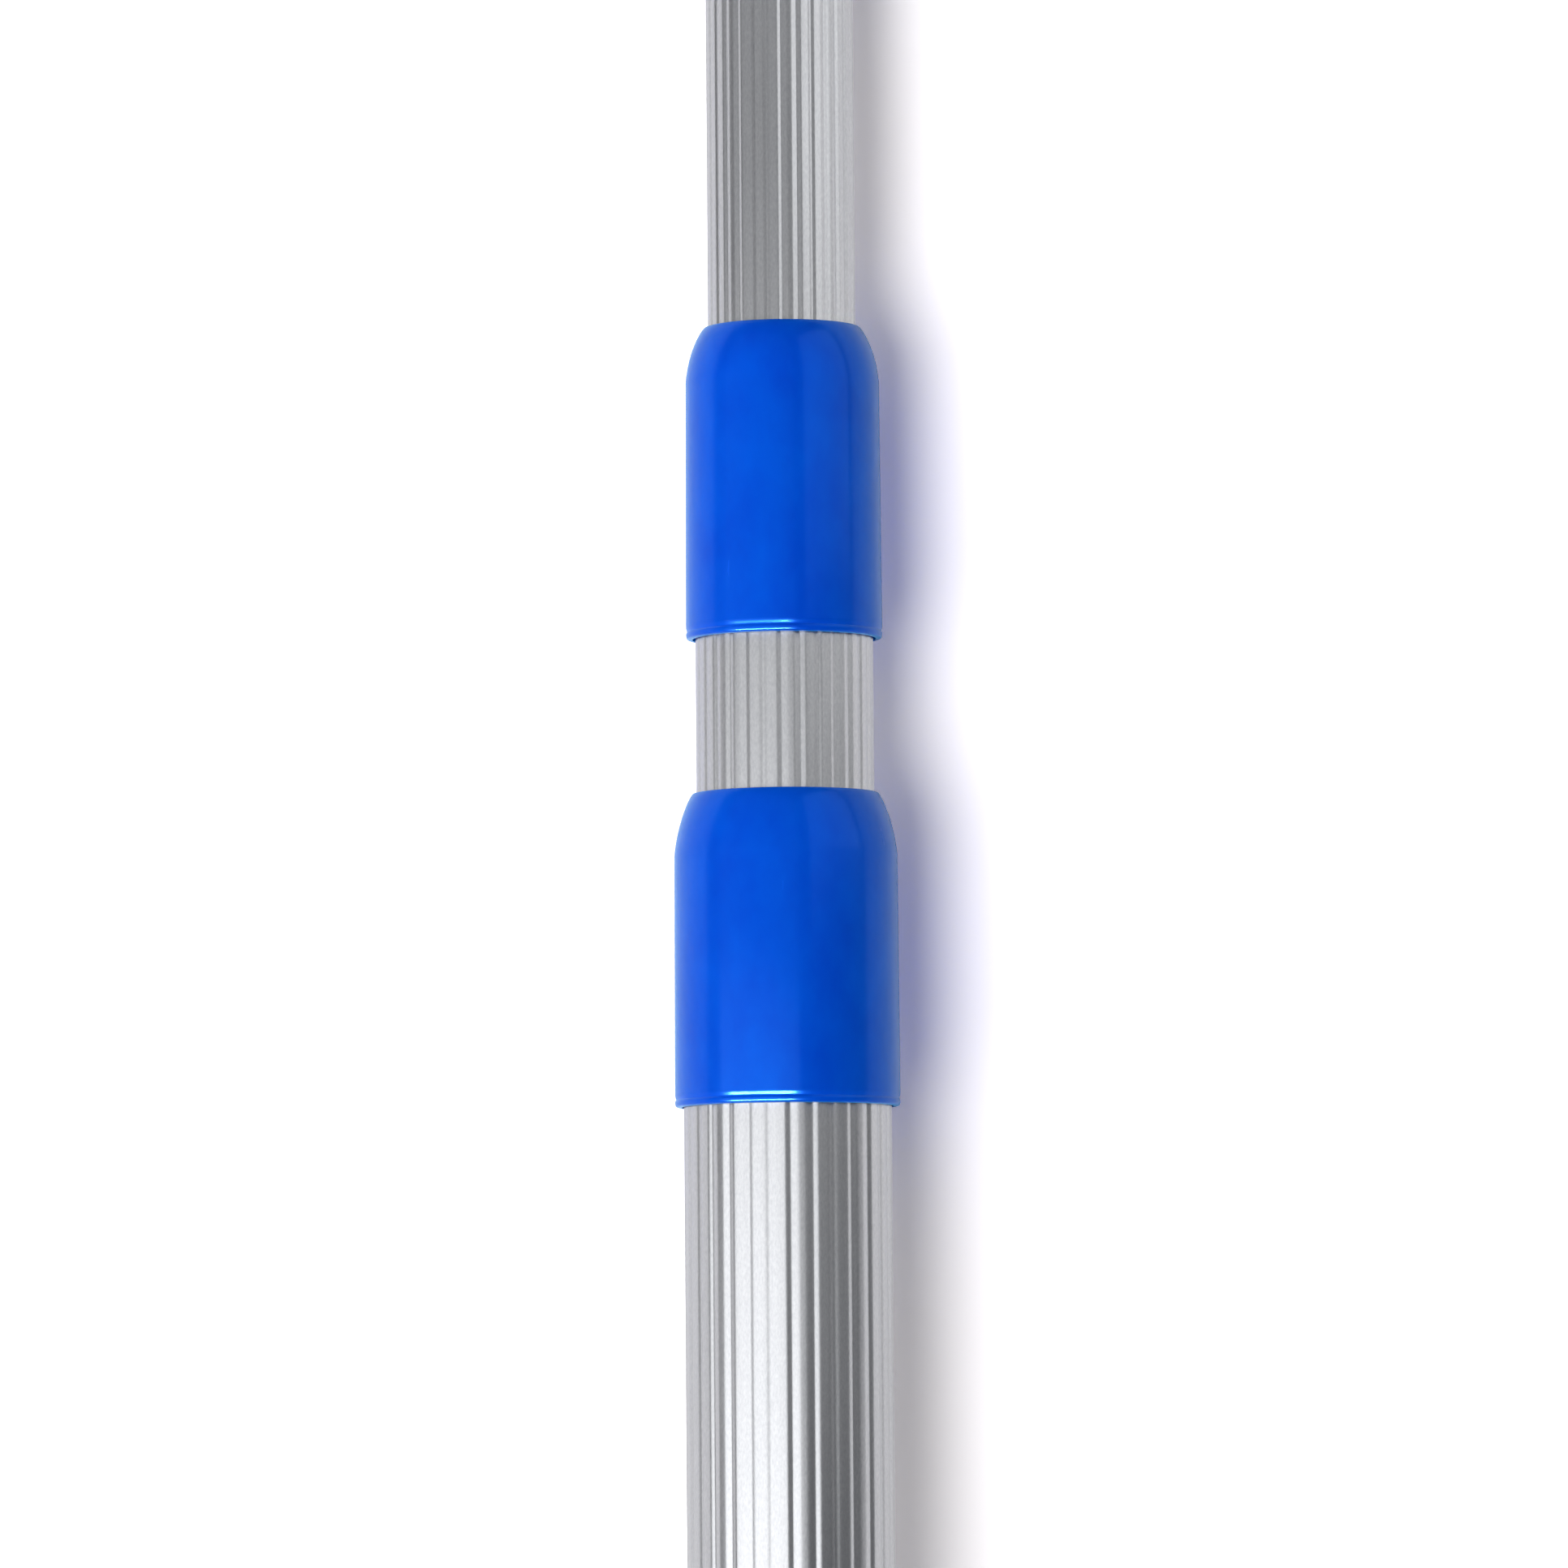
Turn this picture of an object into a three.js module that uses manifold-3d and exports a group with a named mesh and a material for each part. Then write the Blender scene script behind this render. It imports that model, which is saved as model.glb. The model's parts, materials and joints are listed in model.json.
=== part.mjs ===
// Pool wall brush: a wide brush head clipped to the thick end of a three-stage telescopic pole.
// The brush lies ready for use, on the tips of its rear bristles and on the end of its hand grip.
//
// Units are millimetres. Pieces of the pole are made in the pole's own frame: the pole runs along Y,
// y = 0 is the head end of the outer tube and +y leads to the hand grip. Pieces of the head are made
// in the head's own frame: X along its width, +Z away from the bristles, z = 0 on top of the back.
// Both frames hang in one tilted group, and +Z of the finished part is up.

import * as THREE from "three";
import { mergeVertices } from "three/addons/utils/BufferGeometryUtils.js";
import Module from "manifold-3d";

// ---- Driving dimensions ----

const GAP = 0.3; // clearance between neighbouring pieces

// Telescopic tubes: outside steps of 4 mm, walls of 1.2 mm, thirty flutes on each.
const OUTER = { radius: 14, bore: 12.8, length: 700, flutePhase: 6 };
const MIDDLE = { radius: 12, bore: 10.8, length: 650, flutePhase: 4 };
const INNER = { radius: 10, bore: 8.8, length: 710, flutePhase: 7 };
const FLUTES = 30;
const FLUTE_DEPTH = 0.35;

// Moulded collars on the mouths of the two larger tubes.
const COLLAR_HEIGHT = 42.4;
const COLLAR_GUIDE = 8; // the domed top that guides the next tube
const COLLAR_LIP = 1.2; // rounded bottom edge
const RUNNING_CLEARANCE = 0.4; // collar bore over the tube that slides through it

// How far the two inner stages stand out as the brush lies.
const MIDDLE_SHOWN = 20.8;
const INNER_SHOWN = 64;

// Twist locks: an eccentric journal on a plug turns inside a split cam ring.
const ECCENTRICITY = 1;
const PLUG_DEPTH = 24;
const FLANGE = 3;
const CAM_LENGTH = 17.4;
const CAM_SLOT = 2.4;
const SCREW_HEAD = 3;
const SCREW_SHANK = 1.7;
const SCREW_GRIP = 12;

// Hand grip and the stopper with its hanging tab.
const GRIP = { radius: 14.5, waist: 13.6, length: 112 };
const STOPPER_DEPTH = 18;
const CAP_FLANGE = 4;
const TAB = { width: 22, thickness: 8, height: 24, hole: 4.5 };

// Spigot of the head, inside the outer tube, and the spring clip inside it.
const SPIGOT = { radius: 12.4, bore: 10.2, length: 62, floor: 6 };
const SHOULDER = { radius: 15.2, thickness: 5 };
const CLIP = { halfSpan: 8.4, thickness: 1, width: 8, bridge: 57, armEnd: 18, buttonAt: 24 };
const BUTTON = { radius: 3.4, reach: 16, rivet: 1.4, tail: 2.4 };
const POST_RADIUS = 2.6;
const CLIP_SCREW = { shank: 1.1, head: 2.4, headHeight: 1.4, length: 10 };

// Brush head: a flat middle with both ends curved up, away from the wall.
const HEAD_ANGLE = 40; // how far the back leans from the pole
const HEAD_OFFSET = 34; // from the pole's end to the middle of the back, along the pole
const BACK = { flatHalf: 106, wingRadius: 190, wingAngle: 24, thickness: 12, depth: 46, corner: 14 };
const BRISTLE = { length: 36, thickness: 3.2, rows: 5, pitch: 8 };
const FOOT = { width: 82, depth: 38, thickness: 6, corner: 8 };
const NECK_RADIUS = 12.6;
const GUSSET = { thickness: 4, reach: 26, height: 26 };
const FOOT_SCREW = { x: 31, y: 12, shank: 1.9, head: 3.8, headHeight: 2.4, length: 14 };

const ROUND = 32; // sides of a large round surface
const SMALL_ROUND = 16; // sides of a screw, a pin or a small hole

// ---- Stations along the pole, worked out from the dimensions above ----

const outerTop = OUTER.length;
const middleTop = outerTop + COLLAR_GUIDE + MIDDLE_SHOWN + COLLAR_HEIGHT - COLLAR_GUIDE;
const middleFoot = middleTop - MIDDLE.length;
const gripFoot = middleTop + COLLAR_GUIDE + INNER_SHOWN;
const innerTop = gripFoot + GRIP.length;
const innerFoot = innerTop - INNER.length;

const degrees = THREE.MathUtils.degToRad;

// ---- Materials ----

const aluminium = new THREE.MeshStandardMaterial({ color: 0xc6c8cb, roughness: 0.35, metalness: 1 });
const steel = new THREE.MeshStandardMaterial({ color: 0xb8babd, roughness: 0.25, metalness: 1 });
const bluePlastic = new THREE.MeshStandardMaterial({ color: 0x0a50dc, roughness: 0.3 });
const whitePlastic = new THREE.MeshStandardMaterial({ color: 0xe9ebec, roughness: 0.45 });
const greyPlastic = new THREE.MeshStandardMaterial({ color: 0x55595e, roughness: 0.5 });
const nylon = new THREE.MeshStandardMaterial({ color: 0x2f7fe0, roughness: 0.6 });

// ---- Solids ----

const manifold = await Module();
manifold.setup();

// A closed geometry as a solid that can be joined and cut.
function solidFrom(geometry) {
  const bare = geometry.clone();
  bare.deleteAttribute("normal");
  bare.deleteAttribute("uv");
  const merged = mergeVertices(bare, 1e-4);
  return new manifold.Manifold(
    new manifold.Mesh({
      numProp: 3,
      vertProperties: merged.attributes.position.array,
      triVerts: new Uint32Array(merged.index.array),
    }),
  );
}

// The geometry of a finished solid.
function geometryFrom(solid) {
  const mesh = solid.getMesh();
  const geometry = new THREE.BufferGeometry();
  geometry.setAttribute("position", new THREE.BufferAttribute(mesh.vertProperties, 3));
  geometry.setIndex(new THREE.BufferAttribute(mesh.triVerts, 1));
  geometry.computeVertexNormals();
  return geometry;
}

function meshOf(name, geometry, material) {
  const mesh = new THREE.Mesh(geometry, material);
  mesh.name = name;
  return mesh;
}

// A body turned about Y. The outline lists [radius, y], upwards along the outer wall.
function turned(outline, sides = ROUND) {
  const points = outline.map(([radius, y]) => new THREE.Vector2(radius, y));
  return new THREE.LatheGeometry(points, sides);
}

// A turned body with a bore: its outline closes on itself.
function turnedRing(outline, sides = ROUND) {
  return turned([...outline, outline[0]], sides);
}

function rod(radius, from, to, sides = ROUND) {
  return turned([[0, from], [radius, from], [radius, to], [0, to]], sides);
}

// A shape drawn in X and -Z, extruded along +Y from a given station.
function alongPole(shape, from, length) {
  const geometry = new THREE.ExtrudeGeometry(shape, { depth: length, bevelEnabled: false });
  return geometry.rotateX(-Math.PI / 2).translate(0, from, 0);
}

// A shape drawn in X and Z, extruded evenly to both sides of y = 0.
function acrossDepth(shape, depth, curveSegments = 8) {
  const settings = { depth, bevelEnabled: false, curveSegments };
  const geometry = new THREE.ExtrudeGeometry(shape, settings);
  return geometry.rotateX(Math.PI / 2).translate(0, depth / 2, 0);
}

// A shape drawn in X and Y, extruded upwards from a given height.
function upwards(shape, from, height) {
  const settings = { depth: height, bevelEnabled: false, curveSegments: 4 };
  return new THREE.ExtrudeGeometry(shape, settings).translate(0, 0, from);
}

function roundedRectangle(width, height, corner) {
  const x = width / 2;
  const y = height / 2;
  const shape = new THREE.Shape();
  shape.moveTo(-x + corner, -y);
  shape.lineTo(x - corner, -y);
  shape.absarc(x - corner, -y + corner, corner, -Math.PI / 2, 0);
  shape.lineTo(x, y - corner);
  shape.absarc(x - corner, y - corner, corner, 0, Math.PI / 2);
  shape.lineTo(-x + corner, y);
  shape.absarc(-x + corner, y - corner, corner, Math.PI / 2, Math.PI);
  shape.lineTo(-x, -y + corner);
  shape.absarc(-x + corner, -y + corner, corner, Math.PI, 1.5 * Math.PI);
  return shape;
}

// ---- Tubes ----

// The ring of flutes: ribs at the full radius, with a shallow groove between each pair.
function flutedRing(tube) {
  const corners = [];
  for (let i = 0; i < 2 * FLUTES; i += 1) {
    const angle = degrees(tube.flutePhase + (i * 180) / FLUTES);
    const radius = i % 2 ? tube.radius - FLUTE_DEPTH : tube.radius;
    corners.push(new THREE.Vector2(radius * Math.sin(angle), -radius * Math.cos(angle)));
  }
  const shape = new THREE.Shape(corners);
  const bore = new THREE.Path();
  bore.setFromPoints(new THREE.Path().absarc(0, 0, tube.bore, 0, 2 * Math.PI).getPoints(20));
  shape.holes.push(bore);
  return shape;
}

function flutedTube(name, tube, foot) {
  return meshOf(name, alongPole(flutedRing(tube), foot, tube.length), aluminium);
}

// The outer tube has two holes near its head end, one on each side, for the clip's buttons.
function outerTube() {
  const blank = solidFrom(alongPole(flutedRing(OUTER), 0, OUTER.length));
  const drill = rod(BUTTON.radius + 0.7, -20, 20, SMALL_ROUND);
  drill.rotateZ(Math.PI / 2).translate(0, CLIP.buttonAt, 0);
  return meshOf("outer_tube", geometryFrom(blank.subtract(solidFrom(drill))), aluminium);
}

// ---- Collars ----

// A collar slips over the mouth of its tube. Its thick domed top guides the next tube.
// shoulder: the wall's radius and its depth below the top where the dome ends; skirt: radius at the foot.
function collar(name, tube, next, mouth, shoulder, skirt) {
  const top = mouth + COLLAR_GUIDE;
  const foot = top - COLLAR_HEIGHT;
  const guide = next.radius + RUNNING_CLEARANCE;
  const pocket = tube.radius + GAP + 0.1;
  const dome = new THREE.CubicBezierCurve(
    new THREE.Vector2(shoulder.radius, top - shoulder.depth),
    new THREE.Vector2(shoulder.radius - 0.65, top - shoulder.depth + 4.15),
    new THREE.Vector2(guide + 0.6, top - 0.2),
    new THREE.Vector2(guide + 0.15, top),
  );
  const outline = [
    [pocket, foot],
    [skirt - COLLAR_LIP / 2, foot],
    [skirt - COLLAR_LIP / 6, foot + COLLAR_LIP / 3],
    [skirt, foot + COLLAR_LIP],
    ...dome.getPoints(7).map((point) => point.toArray()),
    [guide, top],
    [guide, mouth + GAP],
    [pocket, mouth + GAP],
  ];
  return meshOf(name, turnedRing(outline), bluePlastic);
}

// ---- Twist locks ----

// Sizes of the lock that fits on a tube's foot and runs in the next larger tube.
function lockSizes(tube, housing) {
  return {
    insert: tube.bore - GAP,
    flange: tube.radius - GAP,
    journal: tube.bore / 2 - 0.4,
    cam: housing.bore - 0.4,
    head: tube.bore / 2 + 1.8,
  };
}

// Plug pressed into the foot of a tube, with a flange and an eccentric journal.
function lockPlug(name, sizes, foot) {
  const flangeTop = foot - GAP;
  const flangeFoot = flangeTop - FLANGE;
  const journalFoot = flangeFoot - CAM_LENGTH - 2 * GAP;
  const stem = turned([
    [0, flangeFoot],
    [sizes.flange, flangeFoot],
    [sizes.flange, flangeTop],
    [sizes.insert, flangeTop],
    [sizes.insert, foot + PLUG_DEPTH - 2],
    [sizes.insert - 1, foot + PLUG_DEPTH],
    [0, foot + PLUG_DEPTH],
  ]);
  const journal = rod(sizes.journal, journalFoot, flangeFoot + 1, 24).translate(0, 0, ECCENTRICITY);
  const bore = rod(SCREW_SHANK + GAP, journalFoot - 1, journalFoot + SCREW_GRIP + 0.5, SMALL_ROUND);
  bore.translate(0, 0, ECCENTRICITY);
  const plug = solidFrom(stem).add(solidFrom(journal)).subtract(solidFrom(bore));
  return meshOf(name, geometryFrom(plug), whitePlastic);
}

// Split ring on the journal, round with the pole while the lock is open.
function lockCam(name, sizes, foot) {
  const top = foot - FLANGE - 2 * GAP;
  const ring = rod(sizes.cam, top - CAM_LENGTH, top);
  const bore = rod(sizes.journal + GAP, top - CAM_LENGTH - 1, top + 1, 24);
  bore.translate(0, 0, ECCENTRICITY);
  const slot = new THREE.BoxGeometry(CAM_SLOT, CAM_LENGTH + 2, 2 * sizes.cam);
  slot.translate(0, top - CAM_LENGTH / 2, ECCENTRICITY + sizes.cam);
  const cam = solidFrom(ring).subtract(solidFrom(bore)).subtract(solidFrom(slot));
  return meshOf(name, geometryFrom(cam), greyPlastic);
}

// Screw with a wide head that keeps the cam on the journal.
function lockScrew(name, sizes, foot) {
  const journalFoot = foot - FLANGE - CAM_LENGTH - 3 * GAP;
  const headTop = journalFoot - GAP;
  const screw = turned([
    [0, headTop - SCREW_HEAD],
    [sizes.head - 1, headTop - SCREW_HEAD],
    [sizes.head, headTop - SCREW_HEAD + 1],
    [sizes.head, headTop],
    [SCREW_SHANK, headTop],
    [SCREW_SHANK, headTop + SCREW_GRIP],
    [0, headTop + SCREW_GRIP],
  ], 20);
  return meshOf(name, screw.translate(0, 0, ECCENTRICITY), steel);
}

// ---- Hand grip and end cap ----

function handGrip() {
  const bore = INNER.radius + GAP + 0.1;
  const { radius, waist, length } = GRIP;
  const outline = [
    [bore, gripFoot],
    [radius - 1.5, gripFoot],
    [radius, gripFoot + 1.5],
    [radius, gripFoot + 10],
    [waist, gripFoot + 18],
    [waist, innerTop - 18],
    [radius, innerTop - 10],
    [radius, innerTop],
    [bore, innerTop],
  ];
  return meshOf("hand_grip", turnedRing(outline), bluePlastic);
}

// Stopper in the tube's mouth, with a flange and a flat tab that hangs on a hook.
function endCap() {
  const foot = innerTop + GAP;
  const top = foot + CAP_FLANGE;
  const stopper = turned([
    [0, foot - STOPPER_DEPTH],
    [INNER.bore - GAP - 1, foot - STOPPER_DEPTH],
    [INNER.bore - GAP, foot - STOPPER_DEPTH + 2],
    [INNER.bore - GAP, foot],
    [GRIP.radius, foot],
    [GRIP.radius, top - 1],
    [GRIP.radius - 1, top],
    [0, top],
  ]);
  const half = TAB.width / 2;
  const centre = top + TAB.height - half;
  const outline = new THREE.Shape();
  outline.moveTo(-half, foot + 1);
  outline.lineTo(half, foot + 1);
  outline.lineTo(half, centre);
  outline.absarc(0, centre, half, 0, Math.PI);
  outline.holes.push(new THREE.Path().absarc(0, centre, TAB.hole, 0, 2 * Math.PI, true));
  const settings = { depth: TAB.thickness, bevelEnabled: false, curveSegments: 10 };
  const tab = new THREE.ExtrudeGeometry(outline, settings);
  tab.translate(0, 0, -TAB.thickness / 2).rotateY(Math.PI / 2);
  return meshOf("end_cap", geometryFrom(solidFrom(stopper).add(solidFrom(tab))), bluePlastic);
}

// ---- Spring clip in the spigot ----

// Strip across the top of the spigot's post, with a hole for its screw.
function clipBridge() {
  const span = 2 * CLIP.halfSpan + CLIP.thickness;
  const strip = new THREE.BoxGeometry(span, CLIP.thickness, CLIP.width);
  strip.translate(0, CLIP.bridge + CLIP.thickness / 2, 0);
  const hole = rod(CLIP_SCREW.shank + GAP, CLIP.bridge - 2, CLIP.bridge + 3, SMALL_ROUND);
  const bridge = solidFrom(strip).subtract(solidFrom(hole));
  return meshOf("clip_bridge", geometryFrom(bridge), steel);
}

function clipScrew() {
  const seat = CLIP.bridge + CLIP.thickness + GAP;
  const { shank, head, headHeight, length } = CLIP_SCREW;
  const outline = [
    [0, seat - length],
    [shank, seat - length],
    [shank, seat],
    [head, seat],
    [head, seat + headHeight / 2],
    [head - 0.8, seat + headHeight],
    [0, seat + headHeight],
  ];
  return meshOf("clip_screw", turned(outline, SMALL_ROUND), steel);
}

// Arm of the clip on one side, from the bridge down past the button.
function clipArm(name, side) {
  const top = CLIP.bridge - GAP;
  const height = top - CLIP.armEnd;
  const strip = new THREE.BoxGeometry(CLIP.thickness, height, CLIP.width);
  strip.translate(side * CLIP.halfSpan, CLIP.armEnd + height / 2, 0);
  const hole = rod(BUTTON.rivet + GAP, -3, 3, SMALL_ROUND);
  hole.rotateZ(Math.PI / 2).translate(side * CLIP.halfSpan, CLIP.buttonAt, 0);
  const arm = solidFrom(strip).subtract(solidFrom(hole));
  return meshOf(name, geometryFrom(arm), steel);
}

// Button riveted to an arm. It stands out through the spigot and the tube.
function clipButton(name, side) {
  const inner = CLIP.halfSpan - CLIP.thickness / 2 - GAP;
  const outer = CLIP.halfSpan + CLIP.thickness / 2 + GAP;
  const outline = [
    [0, inner - 0.7],
    [BUTTON.tail, inner - 0.7],
    [BUTTON.tail, inner],
    [BUTTON.rivet, inner],
    [BUTTON.rivet, outer],
    [BUTTON.radius, outer],
    [BUTTON.radius, BUTTON.reach - 1.2],
    [BUTTON.radius - 0.9, BUTTON.reach - 0.3],
    [0, BUTTON.reach],
  ];
  const button = turned(outline, SMALL_ROUND).rotateZ((-side * Math.PI) / 2);
  return meshOf(name, button.translate(0, CLIP.buttonAt, 0), steel);
}

// ---- Brush head ----

// A strip that follows the head's curve, between two depths below the top of the back.
function curvedStrip(upper, lower, wingAngle) {
  const { flatHalf, wingRadius } = BACK;
  const down = -Math.PI / 2;
  const wing = degrees(wingAngle);
  const shape = new THREE.Shape();
  shape.absarc(-flatHalf, wingRadius, wingRadius + lower, down - wing, down);
  shape.absarc(flatHalf, wingRadius, wingRadius + lower, down, down + wing);
  shape.absarc(flatHalf, wingRadius, wingRadius + upper, down + wing, down, true);
  shape.absarc(-flatHalf, wingRadius, wingRadius + upper, down, down - wing, true);
  return shape;
}

function screwPlaces() {
  const { x, y } = FOOT_SCREW;
  return [[-x, -y], [x, -y], [-x, y], [x, y]];
}

// An upright cylinder in the head's frame.
function uprightRod(radius, from, to, x, y) {
  return rod(radius, from, to, SMALL_ROUND).rotateX(Math.PI / 2).translate(x, y, 0);
}

// Back of the brush, with rounded ends and a blind pilot hole for each screw.
function brushBack() {
  const strip = solidFrom(acrossDepth(curvedStrip(0, BACK.thickness, BACK.wingAngle), BACK.depth));
  const tip = degrees(BACK.wingAngle);
  const width = 2 * (BACK.flatHalf + (BACK.wingRadius + BACK.thickness) * Math.sin(tip));
  const plan = upwards(roundedRectangle(width, BACK.depth, BACK.corner), -40, 80);
  let back = strip.intersect(solidFrom(plan));
  for (const [x, y] of screwPlaces()) {
    back = back.subtract(solidFrom(uprightRod(FOOT_SCREW.shank + GAP, -9, 1, x, y)));
  }
  return meshOf("brush_back", geometryFrom(back), bluePlastic);
}

// One row of tufts, as the slab that the row fills. The two outer rows are a little shorter.
function bristleRow(index) {
  const fromMiddle = index - (BRISTLE.rows - 1) / 2;
  const outermost = Math.abs(fromMiddle) === (BRISTLE.rows - 1) / 2;
  const angle = BACK.wingAngle - (outermost ? 2.5 : 1);
  const top = BACK.thickness + GAP;
  const strip = curvedStrip(top, BACK.thickness + BRISTLE.length, angle);
  const slab = acrossDepth(strip, BRISTLE.thickness, 6);
  slab.translate(0, fromMiddle * BRISTLE.pitch, 0);
  return meshOf("bristle_row_" + (index + 1), slab, nylon);
}

function footScrew(index, [x, y]) {
  const seat = GAP + FOOT.thickness + GAP;
  const { shank, head, headHeight, length } = FOOT_SCREW;
  const outline = [
    [0, seat - length],
    [shank, seat - length],
    [shank, seat],
    [head, seat],
    [head, seat + headHeight / 2],
    [head - 1.2, seat + headHeight],
    [0, seat + headHeight],
  ];
  const screw = turned(outline, SMALL_ROUND).rotateX(Math.PI / 2).translate(x, y, 0);
  return meshOf("foot_screw_" + (index + 1), screw, steel);
}

// Turns a geometry made in the pole's frame into the head's frame.
function poleToHead(geometry) {
  return geometry.translate(0, HEAD_OFFSET, 0).rotateX(degrees(HEAD_ANGLE));
}

// Rib that stands on the foot and braces the neck on one side.
function gusset(side) {
  const shape = new THREE.Shape();
  shape.moveTo(0, GAP + 1);
  shape.lineTo(side * GUSSET.reach, GAP + 1);
  shape.lineTo(side * GUSSET.reach, FOOT.thickness + GAP);
  shape.lineTo(side * NECK_RADIUS, GUSSET.height);
  shape.lineTo(0, GUSSET.height);
  return acrossDepth(shape, GUSSET.thickness);
}

// Foot, neck, shoulder and spigot, moulded in one piece. The spigot is hollow, for the clip.
function brushSocket() {
  const shoulderTop = -GAP;
  const shoulderFoot = shoulderTop - SHOULDER.thickness;
  const stem = turned([
    [0, -HEAD_OFFSET - 40],
    [NECK_RADIUS, -HEAD_OFFSET - 40],
    [NECK_RADIUS, shoulderFoot - 3],
    [SHOULDER.radius, shoulderFoot],
    [SHOULDER.radius, shoulderTop],
    [SPIGOT.radius, shoulderTop],
    [SPIGOT.radius, SPIGOT.length - 2],
    [SPIGOT.radius - 1, SPIGOT.length],
    [0, SPIGOT.length],
  ]);
  const above = new THREE.BoxGeometry(200, 200, 200).translate(0, 0, 100 + GAP);
  const outline = roundedRectangle(FOOT.width, FOOT.depth, FOOT.corner);
  const foot = upwards(outline, GAP, FOOT.thickness);
  const bore = rod(SPIGOT.bore, SPIGOT.floor, SPIGOT.length + 1);
  const post = rod(POST_RADIUS, SPIGOT.floor - 1, CLIP.bridge - GAP, SMALL_ROUND);
  const pilot = rod(CLIP_SCREW.shank + GAP, CLIP.bridge - 12, CLIP.bridge + 1, SMALL_ROUND);
  const sideHole = rod(BUTTON.radius + 0.9, -20, 20, SMALL_ROUND);
  sideHole.rotateZ(Math.PI / 2).translate(0, CLIP.buttonAt, 0);
  let socket = solidFrom(poleToHead(stem)).intersect(solidFrom(above));
  socket = socket.add(solidFrom(foot));
  socket = socket.add(solidFrom(gusset(-1))).add(solidFrom(gusset(1)));
  socket = socket.subtract(solidFrom(poleToHead(bore)));
  socket = socket.subtract(solidFrom(poleToHead(sideHole)));
  socket = socket.add(solidFrom(poleToHead(post)));
  socket = socket.subtract(solidFrom(poleToHead(pilot)));
  for (const [x, y] of screwPlaces()) {
    const hole = uprightRod(FOOT_SCREW.shank + GAP, 0, FOOT.thickness + 1, x, y);
    socket = socket.subtract(solidFrom(hole));
  }
  return meshOf("brush_socket", geometryFrom(socket), bluePlastic);
}

// ---- The whole brush ----

function makePole() {
  const pole = new THREE.Group();
  pole.name = "pole";
  const middleLock = lockSizes(MIDDLE, OUTER);
  const innerLock = lockSizes(INNER, MIDDLE);
  const outerShoulder = { radius: OUTER.radius + 1.15, depth: 8.5 };
  const middleShoulder = { radius: MIDDLE.radius + 1.2, depth: 7.5 };
  pole.add(
    outerTube(),
    flutedTube("middle_tube", MIDDLE, middleFoot),
    flutedTube("inner_tube", INNER, innerFoot),
    collar("outer_collar", OUTER, MIDDLE, outerTop, outerShoulder, OUTER.radius + 1.35),
    collar("middle_collar", MIDDLE, INNER, middleTop, middleShoulder, MIDDLE.radius + 1.4),
    lockPlug("middle_lock_plug", middleLock, middleFoot),
    lockCam("middle_lock_cam", middleLock, middleFoot),
    lockScrew("middle_lock_screw", middleLock, middleFoot),
    lockPlug("inner_lock_plug", innerLock, innerFoot),
    lockCam("inner_lock_cam", innerLock, innerFoot),
    lockScrew("inner_lock_screw", innerLock, innerFoot),
    handGrip(),
    endCap(),
    clipBridge(),
    clipScrew(),
    clipArm("clip_arm_left", -1),
    clipArm("clip_arm_right", 1),
    clipButton("clip_button_left", -1),
    clipButton("clip_button_right", 1),
  );
  return pole;
}

function makeHead() {
  const head = new THREE.Group();
  head.name = "head";
  head.position.y = -HEAD_OFFSET;
  head.rotation.x = -degrees(HEAD_ANGLE);
  head.add(brushSocket(), brushBack(), ...screwPlaces().map((place, i) => footScrew(i, place)));
  for (let i = 0; i < BRISTLE.rows; i += 1) {
    head.add(bristleRow(i));
  }
  return head;
}

// The lean at which the rear bristle tips and the rim of the end cap both touch the floor.
function lyingAngle() {
  const tip = new THREE.Vector3(
    0,
    ((BRISTLE.rows - 1) / 2) * BRISTLE.pitch + BRISTLE.thickness / 2,
    -BACK.thickness - BRISTLE.length,
  );
  tip.applyAxisAngle(new THREE.Vector3(1, 0, 0), -degrees(HEAD_ANGLE));
  const along = innerTop + CAP_FLANGE - (tip.y - HEAD_OFFSET);
  return Math.atan2(-tip.z - GRIP.radius, along);
}

const lying = new THREE.Group();
lying.name = "lying";
lying.rotation.x = -lyingAngle();
lying.add(makePole(), makeHead());

// The part's origin is on the floor, under the middle of the whole brush.
const box = new THREE.Box3().setFromObject(lying, true);
const middle = box.getCenter(new THREE.Vector3());
lying.position.set(-middle.x, -middle.y, -box.min.z);

const poolWallBrush = new THREE.Group();
poolWallBrush.name = "pool_wall_brush";
poolWallBrush.add(lying);

export default poolWallBrush;
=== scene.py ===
import json
import math
import random

import bpy
from mathutils import Matrix, Vector


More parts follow.
